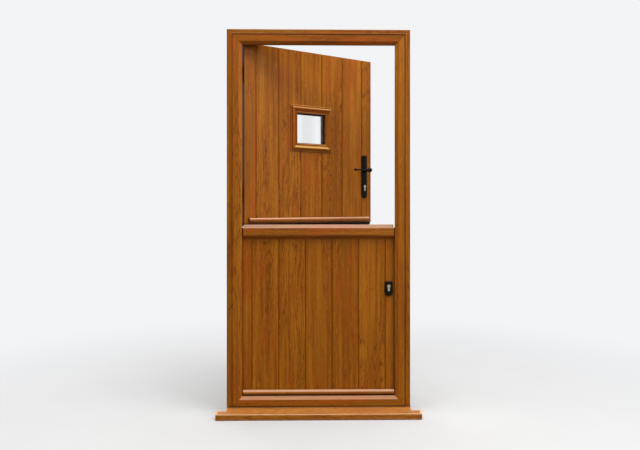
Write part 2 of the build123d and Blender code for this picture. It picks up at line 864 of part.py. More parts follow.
with BuildPart() as lower_slab:
    with BuildSketch(Plane.XY.offset(lower_low)):
        add(slab_section.sketch)
    extrude(amount=lower_high - lower_low)
    lock_mortise(lower_case_z, lower_faceplate_z, lower_cylinder_height)
    screw_holes(leaf_flag_screws(lower_hinge_heights), short_screw)
    screw_holes(lower_faceplate_screws, short_screw)
    screw_holes(keep_block_screws, long_screw)
lower_slab.part.label = "lower_slab"
export_step(lower_slab.part, "parts/lower_slab.step")

# Drip bars: half-round strips across the foot of each leaf
with BuildSketch() as bar_section:
    with BuildLine():
        bar_round = slab_front - bar_reach + bar_height / 2
        Line((slab_front, 0), (bar_round, 0))
        ThreePointArc((bar_round, 0), (slab_front - bar_reach, bar_height / 2), (bar_round, bar_height))
        Polyline((bar_round, bar_height), (slab_front, bar_height), (slab_front, 0))
    make_face()

with BuildPart() as upper_drip_bar:
    with BuildSketch(side(-bar_length / 2)):
        with Locations((0, upper_low + upper_bar_rise)):
            add(bar_section.sketch)
    extrude(amount=bar_length)
upper_drip_bar.part.move(upper_swing)
upper_drip_bar.part.label = "upper_drip_bar"
export_step(upper_drip_bar.part, "parts/upper_drip_bar.step")

with BuildPart() as lower_drip_bar:
    with BuildSketch(side(-bar_length / 2)):
        with Locations((0, lower_low + lower_bar_rise)):
            add(bar_section.sketch)
    extrude(amount=bar_length)
lower_drip_bar.part.label = "lower_drip_bar"
export_step(lower_drip_bar.part, "parts/lower_drip_bar.step")

# Ledge: a hollow bevelled profile that stands above the lower slab's edge
ledge_body = ledge_length - 2 * ledge_cap
ledge_front = slab_front - ledge_reach
ledge_face_z = (lower_high - ledge_front_drop, lower_high - ledge_nose_drop)
with BuildSketch() as ledge_section:
    with BuildLine():
        Polyline(
            (slab_front, lower_high - ledge_back_drop),
            (ledge_front, ledge_face_z[0]),
            (ledge_front, ledge_face_z[1]),
            (slab_front, lower_high + ledge_upstand),
            close=True,
        )
    make_face()

with BuildPart() as ledge:
    with BuildSketch(side(-ledge_body / 2)):
        add(ledge_section.sketch)
        offset(amount=-profile_wall, kind=Kind.INTERSECTION, mode=Mode.SUBTRACT)
        with Locations((slab_front - ledge_reach / 2, sum(ledge_face_z) / 2)):
            Rectangle(ledge_reach, profile_web)
    extrude(amount=ledge_body)
ledge.part.label = "ledge"
export_step(ledge.part, "parts/ledge.step")

with BuildPart() as ledge_end_caps:
    for x in (-ledge_length / 2, ledge_body / 2):
        with BuildSketch(side(x)):
            add(ledge_section.sketch)
        extrude(amount=ledge_cap)
ledge_end_caps.part.label = "ledge_end_caps"
export_step(ledge_end_caps.part, "parts/ledge_end_caps.step")

# Meeting seal: a hollow rubber bulb under the upper leaf, behind the ledge
meeting_seal_width = leaf_thickness - 2 * meeting_seal_inset
with BuildPart() as meeting_seal:
    with BuildSketch(side(meeting_seal_inset - slab_half)):
        with Locations((slab_middle, upper_low - meeting_seal_height / 2)):
            outline = Rectangle(meeting_seal_width, meeting_seal_height)
        fillet(outline.vertices().group_by(Axis.Y)[0], meeting_seal_round)
        offset(amount=-meeting_seal_wall, mode=Mode.SUBTRACT)
        with Locations((slab_middle, upper_low - meeting_seal_height / 2)):
            Rectangle(meeting_seal_wall, meeting_seal_height - meeting_seal_wall)
    extrude(amount=2 * (slab_half - meeting_seal_inset))
meeting_seal.part.move(upper_swing)
meeting_seal.part.label = "meeting_seal"
export_step(meeting_seal.part, "parts/meeting_seal.step")

# Window: two cassette frames that clamp a sealed glass unit in the slab
sight_x = sight_width / 2
sight_z = sight_height / 2
ridge_start = flange_width + ridge_round
ridge_end = ridge_start + ridge_flat
slope_end = cassette_face - bead_width
ridge_turn = ridge_round * math.sqrt(0.5)
with BuildSketch() as cassette_section:
    with BuildLine():
        Polyline(
            (flange_arris, -flange_rise),
            (0, flange_arris - flange_rise),
            (0, 0),
            (cassette_face - cassette_tongue, 0),
            (cassette_face - cassette_tongue, cassette_tongue_depth),
            (cassette_face, cassette_tongue_depth),
            (cassette_face, -bead_rise / 2),
        )
        ThreePointArc(
            (cassette_face, -bead_rise / 2),
            (slope_end + bead_width / 2, -bead_rise),
            (slope_end, -bead_rise / 2),
        )
        ThreePointArc(
            (slope_end, -bead_rise / 2),
            ((slope_end + ridge_end) / 2, slope_sag - (cassette_rise + bead_rise / 2) / 2),
            (ridge_end, -cassette_rise),
        )
        Line((ridge_end, -cassette_rise), (ridge_start, -cassette_rise))
        ThreePointArc(
            (ridge_start, -cassette_rise),
            (ridge_start - ridge_turn, ridge_round - cassette_rise - ridge_turn),
            (flange_width, ridge_round - cassette_rise),
        )
        Polyline(
            (flange_width, ridge_round - cassette_rise),
            (flange_width, -flange_rise),
            (flange_arris, -flange_rise),
        )
    make_face()


def cassette(face_y, direction):
    """One moulded cassette frame, its section swept round the sight with mitred corners."""
    left = window_x - sight_x - cassette_face
    right = window_x + sight_x + cassette_face
    low = window_height - sight_z - cassette_face
    high = window_height + sight_z + cassette_face
    with BuildLine() as path:
        Polyline(
            (left, face_y, window_height),
            (left, face_y, high),
            (right, face_y, high),
            (right, face_y, low),
            (left, face_y, low),
            close=True,
        )
    start = Plane(origin=(left, face_y, window_height), x_dir=(1, 0, 0), z_dir=(0, 0, direction))
    with BuildSketch(start) as section:
        add(cassette_section.sketch)
    sweep(section.sketch, path=path.line, transition=Transition.RIGHT)


def cassette_screw_places():
    """Two screw places on each side of the inner cassette."""
    face = slab_back + cassette_screw_face
    across = sight_x + cassette_face - cassette_screw_inset
    up = sight_z + cassette_face - cassette_screw_inset
    spots = [(side_x * across, end * sight_z / 2) for side_x in (-1, 1) for end in (-1, 1)]
    spots += [(end * sight_x / 2, side_z * up) for side_z in (-1, 1) for end in (-1, 1)]
    return [looking(window_x + x, face, window_height + z, inwards) for x, z in spots]


cassette_screws_at = cassette_screw_places()
boss_depth = slab_back - slab_front
with BuildPart() as cassette_outer:
    cassette(slab_front, 1)
    for place in cassette_screws_at:
        with Locations(looking(place.origin.X, slab_front, place.origin.Z, inwards)):
            Cylinder(boss_radius, boss_depth, align=low_face)
    screw_holes(cassette_screws_at, cassette_screw)
cassette_outer.part.move(upper_swing)
cassette_outer.part.label = "cassette_outer"
export_step(cassette_outer.part, "parts/cassette_outer.step")

with BuildPart() as cassette_inner:
    cassette(slab_back, -1)
    with Locations(*cassette_screws_at):
        Cylinder(cassette_recess_radius, cassette_rise, align=low_face, mode=Mode.SUBTRACT)
    screw_holes(cassette_screws_at, cassette_screw)
cassette_inner.part.move(upper_swing)
cassette_inner.part.label = "cassette_inner"
export_step(cassette_inner.part, "parts/cassette_inner.step")

with BuildPart() as cassette_screws:
    screws(cassette_screws_at, cassette_screw)
cassette_screws.part.move(upper_swing)
cassette_screws.part.label = "cassette_screws"
export_step(cassette_screws.part, "parts/cassette_screws.step")

pane_x = sight_x + glass_edge
pane_z = sight_z + glass_edge
unit_front = slab_front + cassette_tongue_depth + gasket
unit_back = slab_back - cassette_tongue_depth - gasket
window_across = (window_x - pane_x, window_x + pane_x)
window_up = (window_height - pane_z, window_height + pane_z)
with BuildPart() as pane_outer:
    block(window_across, (unit_front, unit_front + pane_thickness), window_up)
pane_outer.part.move(upper_swing)
pane_outer.part.label = "pane_outer"
export_step(pane_outer.part, "parts/pane_outer.step")

with BuildPart() as pane_inner:
    block(window_across, (unit_back - pane_thickness, unit_back), window_up)
pane_inner.part.move(upper_swing)
pane_inner.part.label = "pane_inner"
export_step(pane_inner.part, "parts/pane_inner.step")

with BuildPart() as pane_spacer:
    spacer_y = (unit_front + pane_thickness, unit_back - pane_thickness)
    block(window_across, spacer_y, window_up)
    block(
        (window_x - pane_x + spacer_width, window_x + pane_x - spacer_width),
        spacer_y,
        (window_height - pane_z + spacer_width, window_height + pane_z - spacer_width),
        mode=Mode.SUBTRACT,
    )
pane_spacer.part.move(upper_swing)
pane_spacer.part.label = "pane_spacer"
export_step(pane_spacer.part, "parts/pane_spacer.step")

# Upper lock: handle plates, levers, spindle, case, faceplate, cylinder and bolts


def plate_outline(y):
    """A handle plate's outline, squarish at the top and rounder at the bottom."""
    with BuildSketch(facade(y)) as outline:
        with Locations((lock_x, (plate_low + plate_high) / 2)):
            Rectangle(plate_width, plate_high - plate_low)
        fillet(outline.vertices().group_by(Axis.Y)[-1], plate_round_top)
        fillet(outline.vertices().group_by(Axis.Y)[0], plate_round_bottom)
    return outline.sketch


def plate_holes():
    """The holes of a handle plate: lever collar, cylinder and through screws."""
    round_hole(spindle_height, lever_collar_radius + turn_gap)
    euro_hole(cylinder_height, slide_in)


def plate_screw_places(y, direction):
    """The two screw places of a handle plate."""
    return [looking(lock_x, y, height, direction) for height in plate_screw_heights]


outer_plate_face = slab_front - plate_thickness
inner_plate_face = slab_back + plate_thickness
plate_screw_length = inner_plate_face - slab_front + plate_thickness / 2
with BuildPart() as handle_plate_outer:
    extrude(plate_outline(slab_front), amount=plate_thickness)
    chamfer(handle_plate_outer.faces().sort_by(Axis.Y)[0].edges(), plate_arris)
    plate_holes()
    screw_holes(plate_screw_places(inner_plate_face, inwards), plate_screw_length)
handle_plate_outer.part.move(upper_swing)
handle_plate_outer.part.label = "handle_plate_outer"
export_step(handle_plate_outer.part, "parts/handle_plate_outer.step")

with BuildPart() as handle_plate_inner:
    extrude(plate_outline(slab_back), amount=-plate_thickness)
    chamfer(handle_plate_inner.faces().sort_by(Axis.Y)[-1].edges(), plate_arris)
    plate_holes()
    screw_holes(plate_screw_places(inner_plate_face, inwards), plate_screw_length)
handle_plate_inner.part.move(upper_swing)
handle_plate_inner.part.label = "handle_plate_inner"
export_step(handle_plate_inner.part, "parts/handle_plate_inner.step")

with BuildPart() as handle_plate_screws:
    screws(plate_screw_places(inner_plate_face, inwards), plate_screw_length)
handle_plate_screws.part.move(upper_swing)
handle_plate_screws.part.label = "handle_plate_screws"
export_step(handle_plate_screws.part, "parts/handle_plate_screws.step")


def lever(face_y, direction):
    """A lever handle: collar, hub, neck and a grip that tapers and ends in a ball."""
    away = (0, direction, 0)
    with Locations(looking(lock_x, face_y - direction * plate_thickness, spindle_height, away)):
        Cylinder(lever_collar_radius, plate_thickness + lever_hub_gap, align=low_face)
    with Locations(looking(lock_x, face_y + direction * lever_hub_gap, spindle_height, away)):
        Cone(lever_hub_radius, lever_neck_radius, lever_hub_height, align=low_face)
        Cylinder(lever_neck_radius, lever_stand_off, align=low_face)
    grip_y = face_y + direction * (lever_hub_gap + lever_stand_off)
    with Locations((lock_x, grip_y, spindle_height)):
        Sphere(lever_elbow_radius)
    ball_x = lock_x - lever_length + lever_end_radius
    join_x = ball_x + math.sqrt(lever_end_radius**2 - lever_grip_radius**2)
    with BuildSketch(Plane.XY.offset(spindle_height)) as grip:
        with BuildLine():
            Line((lock_x, grip_y), (lock_x, grip_y + lever_neck_radius))
            Spline(
                (lock_x, grip_y + lever_neck_radius),
                (lock_x - lever_length / 3, grip_y + lever_grip_radius),
                (join_x, grip_y + lever_grip_radius),
            )
            ThreePointArc(
                (join_x, grip_y + lever_grip_radius),
                (ball_x, grip_y + lever_end_radius),
                (ball_x - lever_end_radius, grip_y),
            )
            Line((ball_x - lever_end_radius, grip_y), (lock_x, grip_y))
        make_face()
    revolve(grip.sketch, axis=Axis((lock_x, grip_y, spindle_height), (1, 0, 0)))


spindle_half = spindle_side / 2
spindle_z = (spindle_height - spindle_half, spindle_height + spindle_half)
spindle_y = (outer_plate_face - spindle_grip, inner_plate_face + spindle_grip)
spindle_across = (lock_x - spindle_half, lock_x + spindle_half)
with BuildPart() as lever_outer:
    lever(outer_plate_face, -1)
    block(spindle_across, spindle_y, spindle_z, mode=Mode.SUBTRACT)
lever_outer.part.move(upper_swing)
lever_outer.part.label = "lever_outer"
export_step(lever_outer.part, "parts/lever_outer.step")

with BuildPart() as lever_inner:
    lever(inner_plate_face, 1)
    block(spindle_across, spindle_y, spindle_z, mode=Mode.SUBTRACT)
lever_inner.part.move(upper_swing)
lever_inner.part.label = "lever_inner"
export_step(lever_inner.part, "parts/lever_inner.step")

with BuildPart() as spindle:
    block(spindle_across, spindle_y, spindle_z)
spindle.part.move(upper_swing)
spindle.part.label = "spindle"
export_step(spindle.part, "parts/spindle.step")

with BuildPart() as upper_lock_case:
    lock_case(upper_case_z, cylinder_height)
    round_hole(spindle_height, spindle_side / math.sqrt(2) + slide_gap)
    latch_and_bolt_channels()
upper_lock_case.part.move(upper_swing)
upper_lock_case.part.label = "upper_lock_case"
export_step(upper_lock_case.part, "parts/upper_lock_case.step")

with BuildPart() as upper_faceplate:
    faceplate(upper_faceplate_z, upper_faceplate_screws, cylinder_height)
    latch_and_bolt_channels()
upper_faceplate.part.move(upper_swing)
upper_faceplate.part.label = "upper_faceplate"
export_step(upper_faceplate.part, "parts/upper_faceplate.step")

with BuildPart() as upper_cylinder:
    cylinder_body(cylinder_height, plate_thickness)
upper_cylinder.part.move(upper_swing)
upper_cylinder.part.label = "upper_cylinder"
export_step(upper_cylinder.part, "parts/upper_cylinder.step")

with BuildPart() as upper_plug:
    plug(cylinder_height, plate_thickness)
upper_plug.part.move(upper_swing)
upper_plug.part.label = "upper_plug"
export_step(upper_plug.part, "parts/upper_plug.step")

with BuildPart() as upper_deadbolt:
    deadbolt(upper_bolt_z)
upper_deadbolt.part.move(upper_swing)
upper_deadbolt.part.label = "upper_deadbolt"
export_step(upper_deadbolt.part, "parts/upper_deadbolt.step")

with BuildPart() as latch:
    latch_tip = slab_half + latch_throw
    with BuildSketch(Plane.XY.offset(latch_z - latch_height / 2)):
        with BuildLine():
            Polyline(
                (latch_tip - latch_length, slab_middle - latch_thickness / 2),
                (slab_half, slab_middle - latch_thickness / 2),
                (latch_tip, slab_middle + latch_thickness / 4),
                (latch_tip, slab_middle + latch_thickness / 2),
                (latch_tip - latch_length, slab_middle + latch_thickness / 2),
                close=True,
            )
        make_face()
    extrude(amount=latch_height)
latch.part.move(upper_swing)
latch.part.label = "latch"
export_step(latch.part, "parts/latch.step")

with BuildPart() as upper_screws:
    screws(leaf_flag_screws(upper_hinge_heights) + upper_faceplate_screws, short_screw)
    cylinder_screw(cylinder_height, Mode.ADD)
upper_screws.part.move(upper_swing)
upper_screws.part.label = "upper_screws"
export_step(upper_screws.part, "parts/upper_screws.step")

# Lower lock: escutcheons, case, faceplate, cylinder and deadbolt


def escutcheon(y, thickness):
    """An escutcheon, its corners rounded wider at the bottom than at the top."""
    with BuildSketch(facade(y)) as outline:
        with Locations((lock_x, lower_cylinder_height - escutcheon_drop)):
            Rectangle(escutcheon_width, escutcheon_height)
        fillet(outline.vertices().group_by(Axis.Y)[-1], escutcheon_round_top)
        fillet(outline.vertices().group_by(Axis.Y)[0], escutcheon_round_bottom)
    extrude(outline.sketch, amount=thickness)


with BuildPart() as escutcheon_outer:
    escutcheon(slab_front, escutcheon_thickness)
    chamfer(escutcheon_outer.faces().sort_by(Axis.Y)[0].edges(), escutcheon_bevel)
    euro_hole(lower_cylinder_height, slide_in)
escutcheon_outer.part.label = "escutcheon_outer"
export_step(escutcheon_outer.part, "parts/escutcheon_outer.step")

with BuildPart() as escutcheon_inner:
    escutcheon(slab_back, -escutcheon_thickness)
    chamfer(escutcheon_inner.faces().sort_by(Axis.Y)[-1].edges(), escutcheon_bevel)
    euro_hole(lower_cylinder_height, slide_in)
escutcheon_inner.part.label = "escutcheon_inner"
export_step(escutcheon_inner.part, "parts/escutcheon_inner.step")

with BuildPart() as lower_lock_case:
    lock_case(lower_case_z, lower_cylinder_height)
    edge_channel(lower_bolt_z, bolt_height, bolt_thickness, bolt_length, slide_gap)
lower_lock_case.part.label = "lower_lock_case"
export_step(lower_lock_case.part, "parts/lower_lock_case.step")

with BuildPart() as lower_faceplate:
    faceplate(lower_faceplate_z, lower_faceplate_screws, lower_cylinder_height)
    edge_channel(lower_bolt_z, bolt_height, bolt_thickness, bolt_length, slide_gap)
lower_faceplate.part.label = "lower_faceplate"
export_step(lower_faceplate.part, "parts/lower_faceplate.step")

with BuildPart() as lower_cylinder:
    cylinder_body(lower_cylinder_height, escutcheon_thickness)
lower_cylinder.part.label = "lower_cylinder"
export_step(lower_cylinder.part, "parts/lower_cylinder.step")

with BuildPart() as lower_plug:
    plug(lower_cylinder_height, escutcheon_thickness)
lower_plug.part.label = "lower_plug"
export_step(lower_plug.part, "parts/lower_plug.step")

with BuildPart() as lower_deadbolt:
    deadbolt(lower_bolt_z)
lower_deadbolt.part.label = "lower_deadbolt"
export_step(lower_deadbolt.part, "parts/lower_deadbolt.step")

with BuildPart() as lower_screws:
    screws(leaf_flag_screws(lower_hinge_heights) + lower_faceplate_screws, short_screw)
    cylinder_screw(lower_cylinder_height, Mode.ADD)
lower_screws.part.label = "lower_screws"
export_step(lower_screws.part, "parts/lower_screws.step")

# Joining bolt: on the upper leaf's room face, it drops into a keep on the lower leaf


def joining_block(low, high, bore):
    """A rounded block on a leaf's room face, bored upright for the joining bolt."""
    with BuildSketch(Plane.XY.offset(low)) as outline:
        with Locations((joining_x, joining_y)):
            corners = Rectangle(housing_width, housing_depth)
        fillet(corners.vertices().group_by(Axis.Y)[-1], housing_round)
        with Locations((joining_x, joining_y)):
            Circle(bore, mode=Mode.SUBTRACT)
    extrude(outline.sketch, amount=high - low)


stem_z = housing_low + joining_rod - knob_drop
with BuildPart() as joining_housing:
    joining_block(housing_low, housing_high, joining_radius + turn_gap)
    block(
        (joining_x - knob_stem_radius - slide_gap, joining_x + knob_stem_radius + slide_gap),
        (joining_y, housing_face + cut_gap),
        (stem_z - joining_throw - knob_stem_radius - slide_gap, stem_z + knob_stem_radius + slide_gap),
        mode=Mode.SUBTRACT,
    )
    screw_holes(housing_screws, long_screw)
joining_housing.part.move(upper_swing)
joining_housing.part.label = "joining_housing"
export_step(joining_housing.part, "parts/joining_housing.step")

with BuildPart() as housing_screw_set:
    screws(housing_screws, long_screw)
housing_screw_set.part.move(upper_swing)
housing_screw_set.part.label = "housing_screws"
export_step(housing_screw_set.part, "parts/housing_screws.step")

with BuildPart() as joining_bolt:
    with Locations((joining_x, joining_y, housing_low)):
        Cylinder(joining_radius, joining_rod, align=low_face)
    with Locations(looking(joining_x, joining_y, stem_z, inwards)):
        Cylinder(knob_stem_radius, housing_depth / 2 + knob_reach, align=low_face)
    with Locations(looking(joining_x, housing_face + knob_gap, stem_z, inwards)):
        Cylinder(knob_radius, knob_reach - knob_gap, align=low_face)
joining_bolt.part.move(upper_swing)
joining_bolt.part.label = "joining_bolt"
export_step(joining_bolt.part, "parts/joining_bolt.step")

with BuildPart() as joining_keep:
    joining_block(keep_block_low, keep_block_high, joining_radius + keep_clearance)
    screw_holes(keep_block_screws, long_screw)
joining_keep.part.label = "joining_keep"
export_step(joining_keep.part, "parts/joining_keep.step")

with BuildPart() as joining_keep_screws:
    screws(keep_block_screws, long_screw)
joining_keep_screws.part.label = "joining_keep_screws"
export_step(joining_keep_screws.part, "parts/joining_keep_screws.step")
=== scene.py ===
"""The finish of a split stable door: golden oak foil, black furniture, steel, rubber and glass.

Lengths are in metres. X runs to the right and Y inwards as seen from outside, Z runs up.
"""

import json
import math

import bmesh
import bpy
from mathutils import Matrix, Vector


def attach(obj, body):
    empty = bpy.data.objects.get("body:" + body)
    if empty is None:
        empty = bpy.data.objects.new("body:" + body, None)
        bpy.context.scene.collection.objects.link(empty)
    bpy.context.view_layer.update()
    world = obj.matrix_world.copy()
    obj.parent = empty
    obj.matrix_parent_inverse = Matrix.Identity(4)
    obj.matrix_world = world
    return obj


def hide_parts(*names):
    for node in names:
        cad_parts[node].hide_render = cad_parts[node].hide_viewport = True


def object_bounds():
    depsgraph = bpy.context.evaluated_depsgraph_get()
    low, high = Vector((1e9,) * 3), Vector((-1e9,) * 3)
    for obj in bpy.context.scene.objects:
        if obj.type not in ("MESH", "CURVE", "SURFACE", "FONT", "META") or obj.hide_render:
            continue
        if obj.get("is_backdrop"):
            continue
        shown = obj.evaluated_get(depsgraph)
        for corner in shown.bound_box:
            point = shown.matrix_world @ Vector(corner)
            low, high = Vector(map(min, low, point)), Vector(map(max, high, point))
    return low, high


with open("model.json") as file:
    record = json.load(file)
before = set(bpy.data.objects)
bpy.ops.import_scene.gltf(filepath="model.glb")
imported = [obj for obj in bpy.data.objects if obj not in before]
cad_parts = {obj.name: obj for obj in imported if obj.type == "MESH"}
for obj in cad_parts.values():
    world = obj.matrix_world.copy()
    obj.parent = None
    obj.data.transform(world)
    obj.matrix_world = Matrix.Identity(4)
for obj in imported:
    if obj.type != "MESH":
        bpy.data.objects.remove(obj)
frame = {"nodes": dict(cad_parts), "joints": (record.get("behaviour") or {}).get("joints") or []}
cad_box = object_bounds()
nodes = frame["nodes"]

# The photograph's view
PHOTO_WIDTH = 640
PHOTO_HEIGHT = 450
FOCAL_PIXELS = 639.46
HORIZON_ROW = 206.67
SENSOR = 36.0
EYE = Vector((-0.05106, -3.2336, 1.0539))
YAW = math.radians(1.02)

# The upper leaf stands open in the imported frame, so its places are turned from the closed leaf's
swing = next(joint for joint in frame["joints"] if joint["name"] == "upper_leaf_swing")
hinge = Vector(swing["pos_m"])
open_angle = -math.radians(swing["range_deg"][0])
opening = Matrix.Rotation(open_angle, 4, "Z")
leaf_turn = Matrix.Translation(hinge) @ opening @ Matrix.Translation(-hinge)
leaf_return = leaf_turn.inverted()


def corners_of(points):
    """Lowest and highest corner of some points."""
    low = Vector([min(point[axis] for point in points) for axis in range(3)])
    high = Vector([max(point[axis] for point in points) for axis in range(3)])
    return low, high


def box_of(name, turn=None):
    """Lowest and highest corner of a CAD node, seen through a turn such as the leaf's return."""
    turn = turn or Matrix.Identity(4)
    return corners_of([turn @ vertex.co for vertex in nodes[name].data.vertices])


def outline_of(low, high):
    """A box's outline in X and Z, as its middle and its half size."""
    middle = ((low.x + high.x) / 2, (low.z + high.z) / 2)
    half = ((high.x - low.x) / 2, (high.z - low.z) / 2)
    return middle, half


def linear(value):
    """The share of light that a 0 to 255 value of a screen stands for."""
    share = value / 255
    return share / 12.92 if share < 0.04045 else ((share + 0.055) / 1.055) ** 2.4


def colour(red, green, blue):
    """A linear colour from the 0 to 255 values that a screen shows."""
    return (linear(red), linear(green), linear(blue), 1.0)


class Graph:
    """A node tree with short calls that add nodes to it."""

    def __init__(self, tree):
        self.tree = tree

    def feed(self, socket, value):
        """Sets a socket to a value, or links another socket to it."""
        if isinstance(value, bpy.types.NodeSocket):
            self.tree.links.new(value, socket)
        else:
            socket.default_value = value

    def add(self, kind, inputs=(), **settings):
        """A new node, its inputs given by name or by place."""
        node = self.tree.nodes.new("ShaderNode" + kind)
        for key, value in settings.items():
            setattr(node, key, value)
        pairs = inputs.items() if isinstance(inputs, dict) else enumerate(inputs)
        for key, value in pairs:
            self.feed(node.inputs[key], value)
        return node

    def math(self, operation, *values):
        """A sum, product or other operation on numbers."""
        return self.add("Math", values, operation=operation).outputs[0]

    def split(self, vector):
        """The three numbers of a vector."""
        return self.add("SeparateXYZ", [vector]).outputs[:]

    def noise(self, vector, scale, detail=2.0, roughness=0.5, distortion=0.0):
        """Noise whose cells are one over the scale long, the same or different on each axis."""
        scales = scale if isinstance(scale, tuple) else (scale, scale, scale)
        stretched = self.add("VectorMath", [vector, scales], operation="MULTIPLY").outputs[0]
        settings = {"Vector": stretched, "Scale": 1.0, "Detail": detail}
        settings.update({"Roughness": roughness, "Distortion": distortion})
        return self.add("TexNoise", settings).outputs["Fac"]

    def spread(self, value, low, high, to_low=0.0, to_high=1.0, interpolation="SMOOTHSTEP"):
        """A number moved from one range to another and held inside it."""
        places = [value, low, high, to_low, to_high]
        return self.add("MapRange", places, interpolation_type=interpolation).outputs[0]

    def ramp(self, factor, stops):
        """A colour ramp through the given places and colours."""
        node = self.add("ValToRGB", [factor])
        elements = node.color_ramp.elements
        elements[0].position, elements[0].color = stops[0]
        elements[1].position, elements[1].color = stops[-1]
        for position, shade in stops[1:-1]:
            elements.new(position).color = shade
        return node.outputs["Color"]

    def mix(self, factor, first, second):
        """Two colours mixed by a factor."""
        return self.add("Mix", {0: factor, 6: first, 7: second}, data_type="RGBA").outputs[2]

    def plainly_seen(self):
        """1 for a camera, glossy or transmission ray, 0 for the light that falls on things."""
        ray = self.add("LightPath").outputs
        seen = self.math("MAXIMUM", ray["Is Camera Ray"], ray["Is Glossy Ray"])
        return self.math("MAXIMUM", seen, ray["Is Transmission Ray"])


class Finish(Graph):
    """A material, its node tree and its shader."""

    def __init__(self, name):
        self.material = bpy.data.materials.new(name)
        self.material.use_nodes = True
        super().__init__(self.material.node_tree)
        self.shader = self.tree.nodes["Principled BSDF"]

    def place(self, turned=False):
        """Object coordinates in metres, turned back to the closed leaf where asked."""
        here = self.add("TexCoord").outputs["Object"]
        if not turned:
            return here
        shift = leaf_return.to_translation()
        settings = {"Vector": here, "Location": shift, "Rotation": (0, 0, -open_angle)}
        return self.add("Mapping", settings).outputs[0]

    def emboss(self, height, depth, strength=1.0, arris=0.0):
        """Bump from a height between 0 and 1, over edges softened by an arris.

        The depth and the arris are in metres.
        """
        bump = self.add("Bump", {"Height": height, "Distance": depth, "Strength": strength})
        if arris:
            soft = self.add("Bevel", {"Radius": arris}, samples=6)
            self.feed(bump.inputs["Normal"], soft.outputs["Normal"])
        self.feed(self.shader.inputs["Normal"], bump.outputs["Normal"])

    def surface(self, **values):
        """Sets the shader's inputs by name, an underscore standing for a space."""
        for key, value in values.items():
            self.feed(self.shader.inputs[key.replace("_", " ")], value)


# Golden oak foil: its colours
OAK_DARK = colour(98, 47, 0)
OAK_DEEP = colour(121, 63, 2)
OAK_MEAN = colour(139, 77, 4)
OAK_PALE = colour(155, 91, 10)
OAK_LIGHT = colour(172, 108, 24)
OAK_RED = colour(150, 70, 6)
OAK_OLIVE = colour(126, 79, 3)
OAK_PORE = colour(70, 31, 2)
# Dark for seams and joints, and for painted shade in corners
SEAM_AND_SHADE = colour(40, 17, 3)
OAK_STOPS = [
    (0.2, OAK_DARK),
    (0.38, OAK_DEEP),
    (0.5, OAK_MEAN),
    (0.62, OAK_PALE),
    (0.82, OAK_LIGHT),
]

# Painted light: the lighter colours that upward faces take as painted top light, and upper edges
# as painted highlights
OAK_TOP_LIGHT = colour(214, 172, 140)
OAK_GREY_TOP_LIGHT = colour(172, 142, 122)
OAK_ROSE_HIGHLIGHT = colour(244, 190, 146)
OAK_GLEAM = colour(240, 192, 122)

# The grain's layers: cells in a metre across it and along it, detail, roughness and distortion
GRAIN = {
    "broad": (9.0, 0.8, 2.0, 0.5, 0.0),
    "band": (62.0, 1.5, 3.0, 0.55, 0.2),
    "streak": (170.0, 2.6, 3.0, 0.6, 0.0),
    "fine": (520.0, 9.0, 3.0, 0.6, 0.0),
    "figure": (8.5, 1.15, 1.0, 0.4, 0.25),
    "ringed": (6.5, 0.9, 1.0, 0.5, 0.0),
    "ticks": (210.0, 48.0, 3.0, 0.6, 0.3),
    "flecks": (150.0, 34.0, 2.0, 0.5, 0.0),
    "smudge": (64.0, 8.0, 3.0, 0.6, 0.3),
    "pores": (760.0, 30.0, 2.0, 0.6, 0.0),
    "glow": (120.0, 26.0, 2.0, 0.6, 0.0),
    "curl": (90.0, 13.0, 2.0, 0.5, 0.7),
    "curled": (14.0, 3.0, 2.0, 0.5, 0.0),
    "warm": (24.0, 2.6, 3.0, 0.6, 0.4),
    "cool": (27.0, 1.3, 2.0, 0.5, 0.0),
}

# Between which levels of its noise a layer comes in
GRAIN_STEPS = {
    "ringed": (0.46, 0.6),
    "ticks": (0.5, 0.62),
    "flecks": (0.58, 0.72),
    "smudge": (0.58, 0.78),
    "pores": (0.6, 0.74),
    "glow": (0.58, 0.76),
    "curled": (0.46, 0.62),
    "warm": (0.5, 0.66),
    "cool": (0.54, 0.74),
}

# How much each layer lightens the foil, with the level that they have in all without a tone
GRAIN_WEIGHTS = (("streak", 0.5), ("band", 0.46), ("broad", 0.4), ("fine", 0.4))
GRAIN_LEVEL = 0.34

# What is laid over the foil's colour in turn: the layer, its share and its colour
GRAIN_TINTS = (
    ("warm", 0.75, OAK_RED),
    ("cool", 0.55, OAK_OLIVE),
    ("glow", 0.6, OAK_LIGHT),
    ("rings", 0.22, OAK_DARK),
    ("arches", 0.95, OAK_DARK),
    ("smudge", 0.7, OAK_DARK),
    ("curls", 0.95, OAK_DARK),
    ("flecks", 0.45, OAK_DARK),
    ("pores", 0.3, OAK_PORE),
)
RING_COUNT = 150.0
RING_WAVER = 2.0
RING_FULL = 0.9
CURL_WIDTH = 0.045

# The foil's relief, and how much its fine lines and pores dull it
FOIL_DEPTH = 0.00018
FOIL_STRENGTH = 0.8
FINE_RELIEF = 0.4
PORE_RELIEF = 0.5
RING_RELIEF = -0.25
SEAM_RELIEF = -1.0
FOIL_ROUGHNESS = 0.34
FINE_DULLING = 0.16
PORE_DULLING = 0.12

# Boards with grooves lightened as painted light, mitres, joints, softened edges, painted top light
# and highlights, and painted shade in sheltered corners
BOARD_PITCH = 0.136
BOARD_TONE = 0.05
BOARD_OFFSET = 1.37
GROOVE_REACH = 0.004
GROOVE_TINT = 0.3
MITRE_LINE = (0.0002, 0.0009)
MITRE_TINT = 0.6
JOINT_LINE = 0.0004
JOINT_REACH = 0.004
JOINT_TINT = 0.75
SOFT_ARRIS = 0.0012
FINE_ARRIS = 0.0006
NOSE_ARRIS = 0.007
HIGHLIGHT_REACH = 1.5
UPWARD = (0.15, 0.75)
EDGE_BEND = (0.8, 0.98)
EDGE_RISE = (0.1, 0.5)
CREVICE_REACH = 0.014
LEDGE_REACH = 0.035
SHELTERED = (0.3, 0.85)
PAINTED_SHADE_STRENGTH = 0.6


